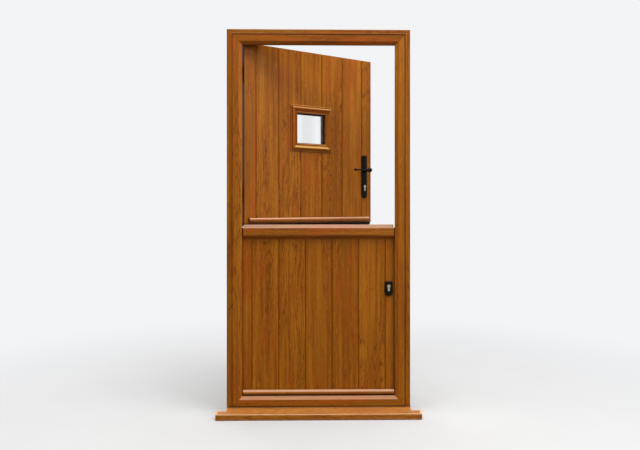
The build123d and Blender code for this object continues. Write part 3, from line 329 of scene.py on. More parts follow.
def off_middle(finish, x, z, middle):
    """How far a point lies to the side of a middle, and above or below it."""
    off_x = finish.math("ABSOLUTE", finish.math("SUBTRACT", x, middle[0]))
    off_z = finish.math("ABSOLUTE", finish.math("SUBTRACT", z, middle[1]))
    return off_x, off_z


def mitre_lines(finish, x, z, middle, half):
    """How near a point lies to an outline's mitres, and whether its grain there is upright."""
    off_x, off_z = off_middle(finish, x, z, middle)
    from_side = finish.math("SUBTRACT", half[0], off_x)
    from_end = finish.math("SUBTRACT", half[1], off_z)
    apart = finish.math("SUBTRACT", from_end, from_side)
    seam = finish.spread(finish.math("ABSOLUTE", apart), *MITRE_LINE, 1.0, 0.0)
    return seam, finish.math("GREATER_THAN", apart, 0.0)


def joint_line(finish, x, z, middle, half):
    """How near a point lies to the joint that runs round the outside of an outline."""
    off_x, off_z = off_middle(finish, x, z, middle)
    past_side = finish.math("SUBTRACT", off_x, half[0])
    past_end = finish.math("SUBTRACT", off_z, half[1])
    past = finish.math("ABSOLUTE", finish.math("MAXIMUM", past_side, past_end))
    return finish.spread(past, JOINT_LINE, JOINT_REACH, 1.0, 0.0)


def top_light_masks(finish, arris):
    """How far a point faces upwards, and how near it lies to an upper edge: the masks for painted
    top light and painted highlights.
    """
    true_normal = finish.add("NewGeometry").outputs["True Normal"]
    soft = finish.add("Bevel", {"Radius": arris * HIGHLIGHT_REACH}, samples=8).outputs["Normal"]
    along = finish.add("VectorMath", [true_normal, soft], operation="DOT_PRODUCT").outputs["Value"]
    rise = finish.split(true_normal)[2]
    soft_rise = finish.split(soft)[2]
    upward = finish.spread(rise, *UPWARD)
    bent = finish.spread(along, *EDGE_BEND, 1.0, 0.0)
    return upward, finish.math("MULTIPLY", bent, finish.spread(soft_rise, *EDGE_RISE))


def board_marks(finish, x):
    """A board's number, its tone by chance, and how near a point lies to the groove beside it."""
    along = finish.math("DIVIDE", x, BOARD_PITCH)
    board = finish.math("FLOOR", finish.math("ADD", along, 0.5))
    chance = finish.add("TexWhiteNoise", {"W": board}, noise_dimensions="1D").outputs["Value"]
    tone = finish.math("MULTIPLY", finish.math("SUBTRACT", chance, 0.5), BOARD_TONE)
    off_board = finish.math("ABSOLUTE", finish.math("SUBTRACT", along, board))
    to_groove = finish.math("MULTIPLY", finish.math("SUBTRACT", 0.5, off_board), BOARD_PITCH)
    return board, tone, finish.spread(to_groove, 0.0, GROOVE_REACH, 1.0, 0.0)


def grain_layers(finish, grain):
    """The foil's figure, layer by layer, each as a number between 0 and 1."""
    layers = {}
    for name, (across, along, detail, roughness, distortion) in GRAIN.items():
        layers[name] = finish.noise(grain, (across, across, along), detail, roughness, distortion)
        if name in GRAIN_STEPS:
            layers[name] = finish.spread(layers[name], *GRAIN_STEPS[name])
    waver = finish.math("MULTIPLY", layers["streak"], RING_WAVER)
    rings = finish.math("SINE", finish.math("MULTIPLY_ADD", layers["figure"], RING_COUNT, waver))
    rings = finish.spread(rings, 0.0, RING_FULL)
    layers["rings"] = finish.math("MULTIPLY", rings, layers["ringed"])
    layers["arches"] = finish.math("MULTIPLY", layers["rings"], layers["ticks"])
    off_curl = finish.math("ABSOLUTE", finish.math("SUBTRACT", layers["curl"], 0.5))
    curls = finish.spread(off_curl, 0.0, CURL_WIDTH, 1.0, 0.0)
    ticked = finish.math("MULTIPLY", layers["curled"], layers["ticks"])
    layers["curls"] = finish.math("MULTIPLY", curls, ticked)
    return layers


def foil_colour(finish, layers, tone):
    """The foil's colour from its layers, made lighter or darker by a tone."""
    shade = 0.0
    for name, weight in GRAIN_WEIGHTS:
        shade = finish.math("MULTIPLY_ADD", layers[name], weight, shade)
    shade = finish.math("ADD", finish.math("SUBTRACT", shade, GRAIN_LEVEL), tone)
    base = finish.ramp(shade, OAK_STOPS)
    for name, share, tint in GRAIN_TINTS:
        base = finish.mix(finish.math("MULTIPLY", layers[name], share), base, tint)
    return base


def oak_foil(
    name,
    level=False,
    turned=False,
    boards=False,
    outline=None,
    joint=None,
    tone=0.0,
    arris=SOFT_ARRIS,
    gloss=0.14,
    dust_and_top_light=0.0,
    edge_highlight=0.0,
    highlight_colour=OAK_TOP_LIGHT,
    shelter=CREVICE_REACH,
):
    """Embossed oak foil, its grain upright or level and its figure new on each board of a slab.

    With level None the grain follows the sides of the outline. Faces that look up are painted
    lighter as painted top light, and their upper edges as a painted highlight, each by its own
    share. Painted shade darkens sheltered corners.
    """
    finish = Finish(name)
    x, y, z = finish.split(finish.place(turned))
    groove = None
    if boards:
        board, board_tone, groove = board_marks(finish, x)
        tone = finish.math("ADD", board_tone, tone)
        z = finish.math("MULTIPLY_ADD", board, BOARD_OFFSET, z)
    upright = finish.add("CombineXYZ", [x, y, z]).outputs[0]
    lying = finish.add("CombineXYZ", [z, y, x]).outputs[0]
    grain = lying if level else upright
    if outline:
        seam, is_upright = mitre_lines(finish, x, z, *outline)
    if level is None:
        choice = {0: is_upright, 4: lying, 5: upright}
        grain = finish.add("Mix", choice, data_type="VECTOR").outputs[1]

    layers = grain_layers(finish, grain)
    base = foil_colour(finish, layers, tone)
    # Painted light: upward faces turn lighter as painted top light, and upper edges as a painted
    # highlight
    if dust_and_top_light or edge_highlight:
        upward, edge = top_light_masks(finish, arris)
        upward = finish.math("MULTIPLY", upward, dust_and_top_light)
        edge = finish.math("MULTIPLY", edge, edge_highlight)
        base = finish.mix(finish.math("MAXIMUM", upward, edge), base, highlight_colour)
    # Painted shade: the foil turns dark where ambient occlusion finds corners sheltered by nearby
    # parts, as under the ledge, but not in the board grooves
    openness = finish.add("AmbientOcclusion", {"Distance": shelter}, samples=6).outputs["AO"]
    painted_shade = finish.spread(openness, *SHELTERED, PAINTED_SHADE_STRENGTH, 0.0)
    if groove:
        painted_shade = finish.math("MULTIPLY", painted_shade, finish.math("SUBTRACT", 1.0, groove))
    base = finish.mix(painted_shade, base, SEAM_AND_SHADE)
    # Painted light: the foil is made lighter along the board grooves, lifting the shade that falls
    # in them
    if groove:
        base = finish.mix(finish.math("MULTIPLY", groove, GROOVE_TINT), base, OAK_PALE)
    # A dark line along the joint round the outline: partly the joint itself, partly painted shade
    # of the groove there
    if joint:
        parting = joint_line(finish, x, z, *joint)
        base = finish.mix(finish.math("MULTIPLY", parting, JOINT_TINT), base, SEAM_AND_SHADE)

    fine_height = finish.math("MULTIPLY", layers["fine"], FINE_RELIEF)
    pore_depth = finish.math("MULTIPLY", layers["pores"], PORE_RELIEF)
    height = finish.math("SUBTRACT", fine_height, pore_depth)
    height = finish.math("MULTIPLY_ADD", layers["rings"], RING_RELIEF, height)
    if outline:
        base = finish.mix(finish.math("MULTIPLY", seam, MITRE_TINT), base, SEAM_AND_SHADE)
        height = finish.math("MULTIPLY_ADD", seam, SEAM_RELIEF, height)
    dull = finish.math("MULTIPLY_ADD", layers["pores"], PORE_DULLING, FOIL_ROUGHNESS)
    dull = finish.math("MULTIPLY_ADD", layers["fine"], FINE_DULLING, dull)
    finish.surface(Base_Color=base, Roughness=dull, IOR=1.5, Specular_IOR_Level=gloss)
    finish.emboss(height, FOIL_DEPTH, FOIL_STRENGTH, arris)
    return finish.material


COAT_BLACK = colour(3, 3, 3)
COAT_GREY = colour(9, 8, 8)
COAT_DUST = colour(96, 90, 82)
COAT_ARRIS = 0.0008
COAT_DEPTH = 0.00012


def black_coat(name):
    """Black powder coat: an orange-peel skin with faint clouds and a little dust."""
    finish = Finish(name)
    here = finish.place()
    peel = finish.noise(here, 900.0, detail=3.0, roughness=0.6)
    cloud = finish.noise(here, 60.0, detail=3.0)
    specks = finish.noise(here, (300.0, 300.0, 120.0), detail=4.0, roughness=0.7)
    base = finish.ramp(cloud, [(0.3, COAT_BLACK), (0.7, COAT_GREY)])
    base = finish.mix(finish.spread(specks, 0.6, 0.8, 0.0, 0.06), base, COAT_DUST)
    dull = finish.math("MULTIPLY_ADD", peel, 0.2, 0.26)
    finish.surface(Base_Color=base, Roughness=dull, Specular_IOR_Level=0.1)
    finish.emboss(peel, COAT_DEPTH, strength=0.8, arris=COAT_ARRIS)
    return finish.material


ZINC = (colour(150, 150, 146), colour(196, 196, 192))
NICKEL = (colour(128, 117, 94), colour(175, 164, 136))
BRUSH_FINE = 2600.0
BRUSH_LONG = 60.0
BRUSH_DEPTH = 0.00003


def plated_metal(name, dark, light, roughness, level_brush=False):
    """Brushed or plated metal: fine lines, faint stains and a rough, uneven gloss."""
    finish = Finish(name)
    here = finish.place()
    lines = (BRUSH_FINE, BRUSH_FINE, BRUSH_LONG)
    if level_brush:
        lines = (BRUSH_LONG, BRUSH_LONG, BRUSH_FINE)
    brush = finish.noise(here, lines, detail=3.0, roughness=0.6)
    stain = finish.noise(here, 45.0, detail=4.0, roughness=0.6)
    base = finish.mix(finish.spread(stain, 0.35, 0.7), light, dark)
    dull = finish.math("MULTIPLY_ADD", stain, 0.16, roughness)
    dull = finish.math("MULTIPLY_ADD", brush, 0.14, dull)
    finish.surface(Base_Color=base, Metallic=1.0, Roughness=dull)
    finish.emboss(brush, BRUSH_DEPTH, strength=0.6)
    return finish.material


SPANGLE_DARK = colour(140, 146, 150)
SPANGLE_LIGHT = colour(196, 200, 202)
SPANGLES = 90.0
SPANGLE_DEPTH = 0.00004


def spangled_steel(name):
    """Galvanised steel with its spangle of crystals."""
    finish = Finish(name)
    cells = finish.add("TexVoronoi", {"Vector": finish.place(), "Scale": SPANGLES})
    tint = finish.split(cells.outputs["Color"])[0]
    base = finish.ramp(tint, [(0.0, SPANGLE_DARK), (1.0, SPANGLE_LIGHT)])
    dull = finish.math("MULTIPLY_ADD", tint, 0.25, 0.3)
    finish.surface(Base_Color=base, Metallic=1.0, Roughness=dull)
    finish.emboss(cells.outputs["Distance"], SPANGLE_DEPTH, strength=0.5)
    return finish.material


RUBBER_BLACK = colour(9, 8, 8)
RUBBER_GREY = colour(26, 24, 23)
RUBBER_DEPTH = 0.00006


def black_rubber(name):
    """Extruded rubber: matt black with grey clouds of dust and a fine grit."""
    finish = Finish(name)
    here = finish.place()
    dust_and_top_light = finish.noise(here, 40.0, detail=4.0, roughness=0.65)
    grit = finish.noise(here, 1200.0)
    base = finish.ramp(dust_and_top_light, [(0.35, RUBBER_BLACK), (0.75, RUBBER_GREY)])
    dull = finish.math("MULTIPLY_ADD", dust_and_top_light, 0.25, 0.55)
    finish.surface(Base_Color=base, Roughness=dull, Specular_IOR_Level=0.12)
    finish.emboss(grit, RUBBER_DEPTH, strength=0.6)
    return finish.material


GLASS_CLEAR = colour(255, 255, 255)
GLASS_SMEARED = colour(251, 253, 252)
GLASS_DEPTH = 0.0003


def clear_glass(name):
    """Float glass with a faint smear of dust that dulls its gloss in places."""
    finish = Finish(name)
    here = finish.place()
    cloud = finish.noise(here, (9.0, 9.0, 14.0), detail=4.0, roughness=0.65)
    smear = finish.spread(cloud, 0.45, 0.8)
    wave = finish.noise(here, 3.0, detail=1.0)
    base = finish.ramp(smear, [(0.0, GLASS_CLEAR), (1.0, GLASS_SMEARED)])
    dull = finish.math("MULTIPLY", smear, 0.05)
    finish.surface(Base_Color=base, Roughness=dull, IOR=1.45, Transmission_Weight=1.0)
    finish.emboss(wave, GLASS_DEPTH, strength=0.15)
    return finish.material


SPACER_GREY = colour(62, 64, 66)
SPACER_HOLE = colour(12, 12, 12)
HOLE_SCALE = 260.0
HOLE_DEPTH = 0.0003


def spacer_bar(name):
    """The glass unit's dark anodised spacer, with its rows of fine breathing holes."""
    finish = Finish(name)
    rows = {"Vector": finish.place(), "Scale": HOLE_SCALE, "Randomness": 0.0}
    dots = finish.add("TexVoronoi", rows).outputs["Distance"]
    holes = finish.spread(dots, 0.12, 0.2, 1.0, 0.0)
    base = finish.mix(finish.math("MULTIPLY", holes, 0.8), SPACER_GREY, SPACER_HOLE)
    dull = finish.math("MULTIPLY_ADD", holes, 0.3, 0.42)
    finish.surface(Base_Color=base, Metallic=0.9, Roughness=dull)
    finish.emboss(holes, HOLE_DEPTH, strength=-0.6)
    return finish.material


# Where the mitred outlines and the sill's joint lie
jamb_low, jamb_high = box_of("hinge_jamb")
frame_middle = (0.0, (jamb_low.z + jamb_high.z) / 2)
frame_half = (-jamb_low.x, (jamb_high.z - jamb_low.z) / 2)
frame_outline = (frame_middle, frame_half)
sill_end = box_of("sill_end_caps")[1].x
sill_joint = (frame_middle, (sill_end + JOINT_REACH, frame_half[1]))
cassette_outline = outline_of(*box_of("cassette_outer", leaf_return))

# In the foils below, the upward-face and upper-edge shares paint top light and highlights in a
# lighter colour
foil_jamb = oak_foil("oak_jamb", outline=frame_outline, joint=frame_outline, arris=FINE_ARRIS)
# The head's lower tone is painted shade: it is made darker than the jambs
foil_head = oak_foil(
    "oak_head",
    level=True,
    outline=frame_outline,
    joint=frame_outline,
    tone=-0.16,
    arris=FINE_ARRIS,
)
foil_threshold = oak_foil(
    "oak_threshold",
    level=True,
    outline=frame_outline,
    joint=frame_outline,
    gloss=0.2,
    dust_and_top_light=0.42,
    edge_highlight=0.5,
)
foil_sill = oak_foil(
    "oak_sill",
    level=True,
    joint=sill_joint,
    tone=0.05,
    arris=NOSE_ARRIS,
    gloss=0.2,
    dust_and_top_light=0.08,
    edge_highlight=1.0,
    highlight_colour=OAK_ROSE_HIGHLIGHT,
)
foil_upper_slab = oak_foil(
    "oak_upper_slab",
    turned=True,
    boards=True,
    tone=0.02,
    shelter=LEDGE_REACH,
)
foil_lower_slab = oak_foil("oak_lower_slab", boards=True, tone=0.01, shelter=LEDGE_REACH)
foil_upper_bar = oak_foil(
    "oak_upper_bar",
    level=True,
    turned=True,
    gloss=0.3,
    dust_and_top_light=0.5,
    edge_highlight=0.5,
)
foil_lower_bar = oak_foil("oak_lower_bar", level=True, gloss=0.3, dust_and_top_light=0.5, edge_highlight=0.5)
foil_ledge = oak_foil(
    "oak_ledge",
    level=True,
    tone=-0.14,
    gloss=0.2,
    dust_and_top_light=0.45,
    edge_highlight=0.2,
    highlight_colour=OAK_GREY_TOP_LIGHT,
    shelter=LEDGE_REACH,
)
# The ledge's end caps get a higher tone as painted light, besides painted top light and highlights
foil_cap = oak_foil(
    "oak_cap",
    level=True,
    tone=0.16,
    gloss=0.2,
    dust_and_top_light=0.5,
    edge_highlight=0.3,
    highlight_colour=OAK_GREY_TOP_LIGHT,
    shelter=LEDGE_REACH,
)
foil_cassette = oak_foil(
    "oak_cassette",
    level=None,
    turned=True,
    outline=cassette_outline,
    arris=FINE_ARRIS,
    dust_and_top_light=0.4,
    edge_highlight=0.3,
    highlight_colour=OAK_GLEAM,
)
coat = black_coat("black_coat")
zinc = plated_metal("zinc_plate", *ZINC, roughness=0.19)
nickel = plated_metal("satin_nickel", *NICKEL, roughness=0.15, level_brush=True)
steel = spangled_steel("galvanised_steel")
rubber = black_rubber("black_rubber")
glass = clear_glass("clear_glass")
spacer = spacer_bar("spacer_aluminium")


def paint(material, *names):
    """Gives CAD nodes a finish through their material slots."""
    for name in names:
        node = nodes[name]
        if not node.material_slots:
            node.data.materials.append(material)
        for slot in node.material_slots:
            slot.material = material


paint(foil_jamb, "hinge_jamb", "lock_jamb", "hinge_extension", "lock_extension")
paint(foil_head, "head", "head_extension")
paint(foil_threshold, "threshold")
paint(foil_sill, "sill", "sill_end_caps")
paint(foil_upper_slab, "upper_slab")
paint(foil_lower_slab, "lower_slab")
paint(foil_upper_bar, "upper_drip_bar")
paint(foil_lower_bar, "lower_drip_bar")
paint(foil_ledge, "ledge")
paint(foil_cap, "ledge_end_caps")
paint(foil_cassette, "cassette_outer", "cassette_inner")
paint(steel, "hinge_jamb_steel", "lock_jamb_steel", "head_steel", "threshold_steel")
paint(coat, "frame_hinge_flags", "upper_hinge_flags", "lower_hinge_flags", "hinge_pins")
paint(coat, "handle_plate_outer", "handle_plate_inner", "lever_outer", "lever_inner")
paint(coat, "escutcheon_outer", "escutcheon_inner")
paint(coat, "joining_housing", "joining_keep", "joining_bolt")
paint(zinc, "upper_keep", "lower_keep", "upper_faceplate", "lower_faceplate", "spindle")
paint(zinc, "upper_lock_case", "lower_lock_case", "latch", "upper_deadbolt", "lower_deadbolt")
paint(nickel, "upper_cylinder", "lower_cylinder", "upper_plug", "lower_plug")
paint(glass, "pane_outer", "pane_inner")
paint(spacer, "pane_spacer")
paint(rubber, "frame_seal", "meeting_seal")
paint(zinc, "frame_screws", "upper_screws", "lower_screws", "cassette_screws")
paint(zinc, "handle_plate_screws", "housing_screws", "joining_keep_screws")

CRISP_ANGLE = math.radians(35)


def finish_piece(name, mesh_data, material, body):
    """A new object of the scene, riding on a body and taking its finish from a slot."""
    mesh = bpy.data.meshes.new(name)
    mesh_data.normal_update()
    mesh_data.to_mesh(mesh)
    mesh_data.free()
    mesh.materials.append(material)
    piece = bpy.data.objects.new(name, mesh)
    bpy.context.scene.collection.objects.link(piece)
    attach(piece, body)
    return piece


def smooth(piece):
    """Smooth shading, with sharp edges kept crisp."""
    mesh = piece.data
    mesh.polygons.foreach_set("use_smooth", [True] * len(mesh.polygons))
    mesh.set_sharp_from_angle(angle=CRISP_ANGLE)


def join_loops(data, first, second, reverse=False):
    """Faces between two closed loops with as many points, wound one way or the other."""
    for step in range(len(first)):
        after = (step + 1) % len(first)
        corners = [first[step], first[after], second[after], second[step]]
        if reverse:
            corners[1:] = reversed(corners[1:])
        data.faces.new(corners)


def ring_mesh(section, middle, half, turn=None):
    """A section swept round a rectangle in the X-Z plane, mitred at its corners.

    The section's points are (outwards from the rectangle, Y).
    """
    data = bmesh.new()
    turn = turn or Matrix.Identity(4)
    loops = []
    for side_x, side_z in ((-1, -1), (1, -1), (1, 1), (-1, 1)):
        loop = []
        for outward, depth in section:
            x = middle[0] + side_x * (half[0] + outward)
            z = middle[1] + side_z * (half[1] + outward)
            loop.append(data.verts.new(turn @ Vector((x, depth, z))))
        loops.append(loop)
    for index, loop in enumerate(loops):
        join_loops(data, loop, loops[(index + 1) % len(loops)])
    bmesh.ops.recalc_face_normals(data, faces=data.faces)
    return data


def bar_mesh(section, start, end, turn=None):
    """A section in the Y-Z plane drawn out along X and closed at both ends."""
    data = bmesh.new()
    turn = turn or Matrix.Identity(4)
    loops = [[data.verts.new(turn @ Vector((x, y, z))) for y, z in section] for x in (start, end)]
    join_loops(data, *loops)
    data.faces.new(loops[0])
    data.faces.new(list(reversed(loops[1])))
    bmesh.ops.recalc_face_normals(data, faces=data.faces)
    return data


def arc(centre, radius, start, end, steps):
    """Points on an arc, both ends included, its angles in degrees."""
    angles = [math.radians(start + (end - start) * step / steps) for step in range(steps + 1)]
    across, up = centre
    return [(across + radius * math.cos(angle), up + radius * math.sin(angle)) for angle in angles]


# Weather seal: a flat foot with a soft bulb and a wiping fin, in the place of the plain strip
SEAL_WIDTH = 0.009
SEAL_FOOT = 0.0007
SEAL_BULB_PLACE = 0.0045
SEAL_BULB_ARC = (-30, 210, 12)
FIN_FOOT = 0.0016
FIN_TIP = 0.0006
FIN_SHORT = 0.0002

seal_low, seal_high = box_of("frame_seal")
seal_middle = (0.0, (seal_low.z + seal_high.z) / 2)
seal_half = (seal_high.x - SEAL_WIDTH, (seal_high.z - seal_low.z) / 2 - SEAL_WIDTH)
foot_top = seal_low.y + SEAL_FOOT
fin_top = seal_high.y - FIN_SHORT
seal_bulb = (seal_high.y - foot_top) / 2
seal_section = [(0.0, seal_low.y), (SEAL_WIDTH, seal_low.y), (SEAL_WIDTH, foot_top)]
seal_section += arc((SEAL_BULB_PLACE, seal_high.y - seal_bulb), seal_bulb, *SEAL_BULB_ARC)
seal_section += [(FIN_FOOT, foot_top), (FIN_TIP, fin_top), (0.0, fin_top)]
seal_ring = ring_mesh(seal_section, seal_middle, seal_half)
weather_seal = finish_piece("weather_seal", seal_ring, rubber, "frame")
smooth(weather_seal)
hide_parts("frame_seal")

# Meeting seal: a double rubber bulb between two lips, under the upper leaf
LIP_DEPTH = 0.003
LIP_RISE = 0.0042
SIDE_RISE = 0.006
MEETING_BULB = 0.0062
MEETING_BULB_ARC = (200, 340, 10)
MEETING_BULB_SHARE = 0.45

meet_low, meet_high = box_of("meeting_seal", leaf_return)
meet_middle = (meet_low.y + meet_high.y) / 2
bulb_shift = (meet_high.y - meet_low.y) / 2 * MEETING_BULB_SHARE
lip_foot = meet_low.z + LIP_RISE
side_foot = meet_low.z + SIDE_RISE
bulb_height = meet_low.z + MEETING_BULB
meet_section = [(meet_low.y, meet_high.z), (meet_low.y, side_foot)]
meet_section += [(meet_low.y + LIP_DEPTH, lip_foot)]
for shift in (-bulb_shift, bulb_shift):
    meet_section += arc((meet_middle + shift, bulb_height), MEETING_BULB, *MEETING_BULB_ARC)
meet_section += [(meet_high.y - LIP_DEPTH, lip_foot)]
meet_section += [(meet_high.y, side_foot), (meet_high.y, meet_high.z)]
meet_bar = bar_mesh(meet_section, meet_low.x, meet_high.x, leaf_turn)
meeting_bulb = finish_piece("meeting_bulb", meet_bar, rubber, "upper_leaf")
smooth(meeting_bulb)
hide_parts("meeting_seal")

# Glazing gaskets: a black wedge between each cassette and its pane, its points given as the
# share of the width that they lie inside the sight line and the height off the glass
GLASS_EDGE = 0.0075
GASKET_WIDTH = 0.0045
GASKET_WEDGE = ((1.0, 0.0), (0.8, 0.0012), (0.3, 0.0030), (0.0, 0.0036), (0.0, 0.0))

pane_low, pane_high = box_of("pane_outer", leaf_return)
inner_face = box_of("pane_inner", leaf_return)[1].y
pane_middle, pane_half = outline_of(pane_low, pane_high)
sight_half = [size - GLASS_EDGE for size in pane_half]
for name, glass_face, away in (
    ("glazing_gasket_outer", pane_low.y, -1),
    ("glazing_gasket_inner", inner_face, 1),
):
    wedge = [(-GASKET_WIDTH * share, glass_face + away * height) for share, height in GASKET_WEDGE]
    wedge_ring = ring_mesh(wedge, pane_middle, sight_half, leaf_turn)
    finish_piece(name, wedge_ring, rubber, "upper_leaf")

# Screws with a cross recess and a thread, one for each plain screw of the solids: the thread in
# shares of its radius and pitch, the recess in shares of the head's radius and height
SCREW_SIDES = 20
HEAD_HEIGHT = 0.002
THREAD_PITCH = 0.0022
THREAD_ROOT = (0.78, 0.45)
THREAD_CREST = (0.98, 0.95)
RECESS_ARM = 0.62
RECESS_HALF_WIDTH = 0.13
RECESS_DEPTH = 0.7
RECESS_TAPER = 0.7
END_REACH = 1e-5
WELD_REACH = 1e-6


def screw_mesh(radius, head_radius, length):
    """A countersunk screw along -Z with its face at Z = 0."""
    data = bmesh.new()
    turns = int(length / THREAD_PITCH)
    pitch = (length - HEAD_HEIGHT) / turns

    def circle(size, height):
        angles = [2 * math.pi * step / SCREW_SIDES for step in range(SCREW_SIDES)]
        return [data.verts.new((size * math.cos(a), size * math.sin(a), height)) for a in angles]

    rim = circle(head_radius, 0.0)
    loops = [rim, circle(radius, -HEAD_HEIGHT)]
    for turn in range(turns):
        start = -HEAD_HEIGHT - pitch * turn
        for width, place in (THREAD_ROOT, THREAD_CREST):
            loops.append(circle(radius * width, start - pitch * place))
    for first, second in zip(loops, loops[1:]):
        join_loops(data, first, second, reverse=True)
    data.faces.new(list(reversed(loops[-1])))

    arm, half_arm = head_radius * RECESS_ARM, head_radius * RECESS_HALF_WIDTH
    floor_height = -HEAD_HEIGHT * RECESS_DEPTH
    outline = []
    for quarter in range(4):
        spin = Matrix.Rotation(quarter * math.pi / 2, 3, "Z")
        for corner in ((half_arm, half_arm, 0), (half_arm, arm, 0), (-half_arm, arm, 0)):
            outline.append(spin @ Vector(corner))
    top = [data.verts.new(corner) for corner in outline]
    low = []
    for x, y, _ in outline:
        low.append(data.verts.new((x * RECESS_TAPER, y * RECESS_TAPER, floor_height)))
    join_loops(data, top, low)
    data.faces.new(low)
    edges = []
    for loop in (rim, top):
        edges += [data.edges.get(pair) for pair in zip(loop, loop[1:] + loop[:1])]
    bmesh.ops.bridge_loops(data, edges=edges)
    bmesh.ops.recalc_face_normals(data, faces=data.faces)
    return data


def loose_parts(name, turn):
    """The separate solids of a CAD node, each as its points, in the same order each run."""
    data = bmesh.new()
    data.from_mesh(nodes[name].data)
    data.transform(turn)
    bmesh.ops.remove_doubles(data, verts=data.verts, dist=WELD_REACH)
    waiting = dict.fromkeys(data.verts)
    parts = []
    while waiting:
        front = [waiting.popitem()[0]]
        part = list(front)
        while front:
            vertex = front.pop()
            for edge in vertex.link_edges:
                other = edge.other_vert(vertex)
                if other in waiting:
                    del waiting[other]
                    front.append(other)
                    part.append(other)
        parts.append([vertex.co.copy() for vertex in part])
    data.free()
    return parts


def end_radius(points, middle, axis, end):
    """The radius of a screw's end, round a line through its middle along an axis."""
    offsets = [point - middle for point in points if abs(point[axis] - end) < END_REACH]
    for offset in offsets:
        offset[axis] = 0.0
    return max(offset.length for offset in offsets)


def detailed_screws(name, body, turn=None):
    """Replaces a node of plain screws with recessed, threaded ones in the same places."""
    turn = turn or Matrix.Identity(4)
    together = bmesh.new()
    for points in loose_parts(name, turn.inverted()):
        low, high = corners_of(points)
        size = high - low
        middle = (low + high) / 2
        axis = max(range(3), key=lambda index: size[index])
        ends = (low[axis], high[axis])
        radii = [end_radius(points, middle, axis, end) for end in ends]
        top = 0 if radii[0] > radii[1] else 1
        outwards = Vector((0, 0, 0))
        outwards[axis] = 1.0 if top else -1.0
        face = middle.copy()
        face[axis] = ends[top]
        screw = screw_mesh(min(radii), max(radii), size[axis])
        aim = outwards.to_track_quat("Z", "Y").to_matrix().to_4x4()
        screw.transform(Matrix.Translation(face) @ aim)
        part = bpy.data.meshes.new("part")
        screw.to_mesh(part)
        screw.free()
        together.from_mesh(part)
        bpy.data.meshes.remove(part)
    together.transform(turn)
    piece = finish_piece(name + "_recessed", together, zinc, body)
    smooth(piece)
    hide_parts(name)


detailed_screws("frame_screws", "frame")
detailed_screws("upper_screws", "upper_leaf", leaf_turn)
detailed_screws("lower_screws", "lower_leaf")
detailed_screws("cassette_screws", "upper_leaf", leaf_turn)
detailed_screws("handle_plate_screws", "upper_leaf", leaf_turn)
detailed_screws("housing_screws", "upper_leaf", leaf_turn)
detailed_screws("joining_keep_screws", "lower_leaf")

# Floor: pale near the part, and fading into the sky further out
SKY_COLOUR = (0.97, 0.98, 1.0, 1.0)
SEEN_SKY = 0.92
FLOOR_HALF = 60.0
FLOOR_LEVEL = -0.0004
FLOOR_DARK = (0.49, 0.487, 0.48, 1.0)
FLOOR_LIGHT = (0.51, 0.507, 0.50, 1.0)
FLOOR_BOUNCE = (0.16, 0.14, 0.12, 1.0)
FLOOR_OUT = (0.0, 0.0, 0.0, 1.0)
FADE_START = 0.5
FADE_END = 3.2

floor_data = bmesh.new()
bmesh.ops.create_grid(floor_data, x_segments=1, y_segments=1, size=FLOOR_HALF)
floor_mesh = bpy.data.meshes.new("floor")
floor_data.to_mesh(floor_mesh)
floor_data.free()
floor = bpy.data.objects.new("floor", floor_mesh)
floor.location = (0.0, 0.0, FLOOR_LEVEL)
bpy.context.scene.collection.objects.link(floor)
floor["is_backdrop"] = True

floor_finish = Finish("pale_floor")
seen = floor_finish.plainly_seen()
here = floor_finish.place()
distance = floor_finish.add("VectorMath", [here], operation="LENGTH").outputs["Value"]
fade = floor_finish.spread(distance, FADE_START, FADE_END)
grit = floor_finish.noise(here, 2.0, detail=5.0, roughness=0.6)
pale = floor_finish.ramp(grit, [(0.3, FLOOR_DARK), (0.7, FLOOR_LIGHT)])
pale = floor_finish.mix(fade, pale, FLOOR_OUT)
seen_fade = floor_finish.math("MULTIPLY", fade, seen)
floor_finish.surface(
    Base_Color=floor_finish.mix(seen, FLOOR_BOUNCE, pale),
    Roughness=0.9,
    Specular_IOR_Level=0.0,
    Emission_Color=SKY_COLOUR,
    Emission_Strength=floor_finish.math("MULTIPLY", seen_fade, SEEN_SKY),
)
floor_mesh.materials.append(floor_finish.material)

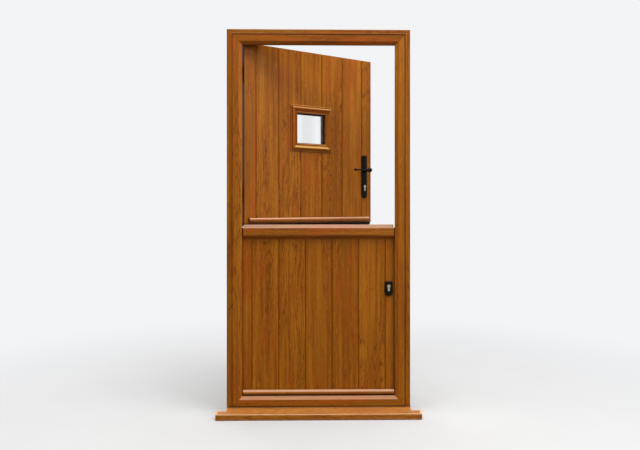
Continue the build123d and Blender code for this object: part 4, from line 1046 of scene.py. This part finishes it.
# Sky: even where it is seen, and brighter upwards and to the right in the light that it gives
SKY_CLIMB = (-0.2, 1.0, 0.35, 1.15)
SKY_ACROSS = (-1.0, 1.0, 0.45, 1.45)

world = bpy.data.worlds.new("soft_sky")
bpy.context.scene.world = world
world.use_nodes = True
sky = Graph(world.node_tree)
right, _, up = sky.split(sky.add("TexCoord").outputs["Generated"])
climb = sky.spread(up, *SKY_CLIMB, interpolation="LINEAR")
across = sky.spread(right, *SKY_ACROSS, interpolation="LINEAR")
given = sky.math("MULTIPLY", climb, across)
strength = sky.add("Mix", {0: sky.plainly_seen(), 2: given, 3: SEEN_SKY}).outputs[0]
background = sky.tree.nodes["Background"].inputs
sky.feed(background["Color"], SKY_COLOUR)
sky.feed(background["Strength"], strength)


def area_light(name, place, target, size, power):
    """A soft rectangular lamp aimed at a point."""
    lamp = bpy.data.lights.new(name, "AREA")
    lamp.shape = "RECTANGLE"
    lamp.size, lamp.size_y = size
    lamp.energy = power
    holder = bpy.data.objects.new(name, lamp)
    holder.location = place
    aim = Vector(target) - Vector(place)
    holder.rotation_euler = aim.to_track_quat("-Z", "Y").to_euler()
    bpy.context.scene.collection.objects.link(holder)


area_light("overhead", (0.2, -1.0, 4.4), (0.0, 0.0, 0.9), size=(4.0, 2.4), power=190.0)
area_light("front_right", (2.8, -3.2, 2.4), (0.0, 0.1, 1.0), size=(2.2, 2.2), power=55.0)
area_light("behind_left", (-2.4, 3.6, 2.6), (0.0, 0.0, 1.0), size=(2.4, 2.4), power=40.0)

camera_data = bpy.data.cameras.new("photo_view")
camera_data.sensor_width = SENSOR
camera_data.lens = FOCAL_PIXELS / PHOTO_WIDTH * SENSOR
camera_data.shift_y = (HORIZON_ROW - PHOTO_HEIGHT / 2) / PHOTO_WIDTH
camera = bpy.data.objects.new("photo_view", camera_data)
camera.location = EYE
camera.rotation_euler = (math.pi / 2, 0.0, -YAW)
bpy.context.scene.collection.objects.link(camera)
bpy.context.scene.camera = camera
bpy.context.scene.view_settings.view_transform = "Standard"

boxes = {"cad": cad_box, "visual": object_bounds()}
{key: [list(corner) for corner in value] for key, value in boxes.items()}
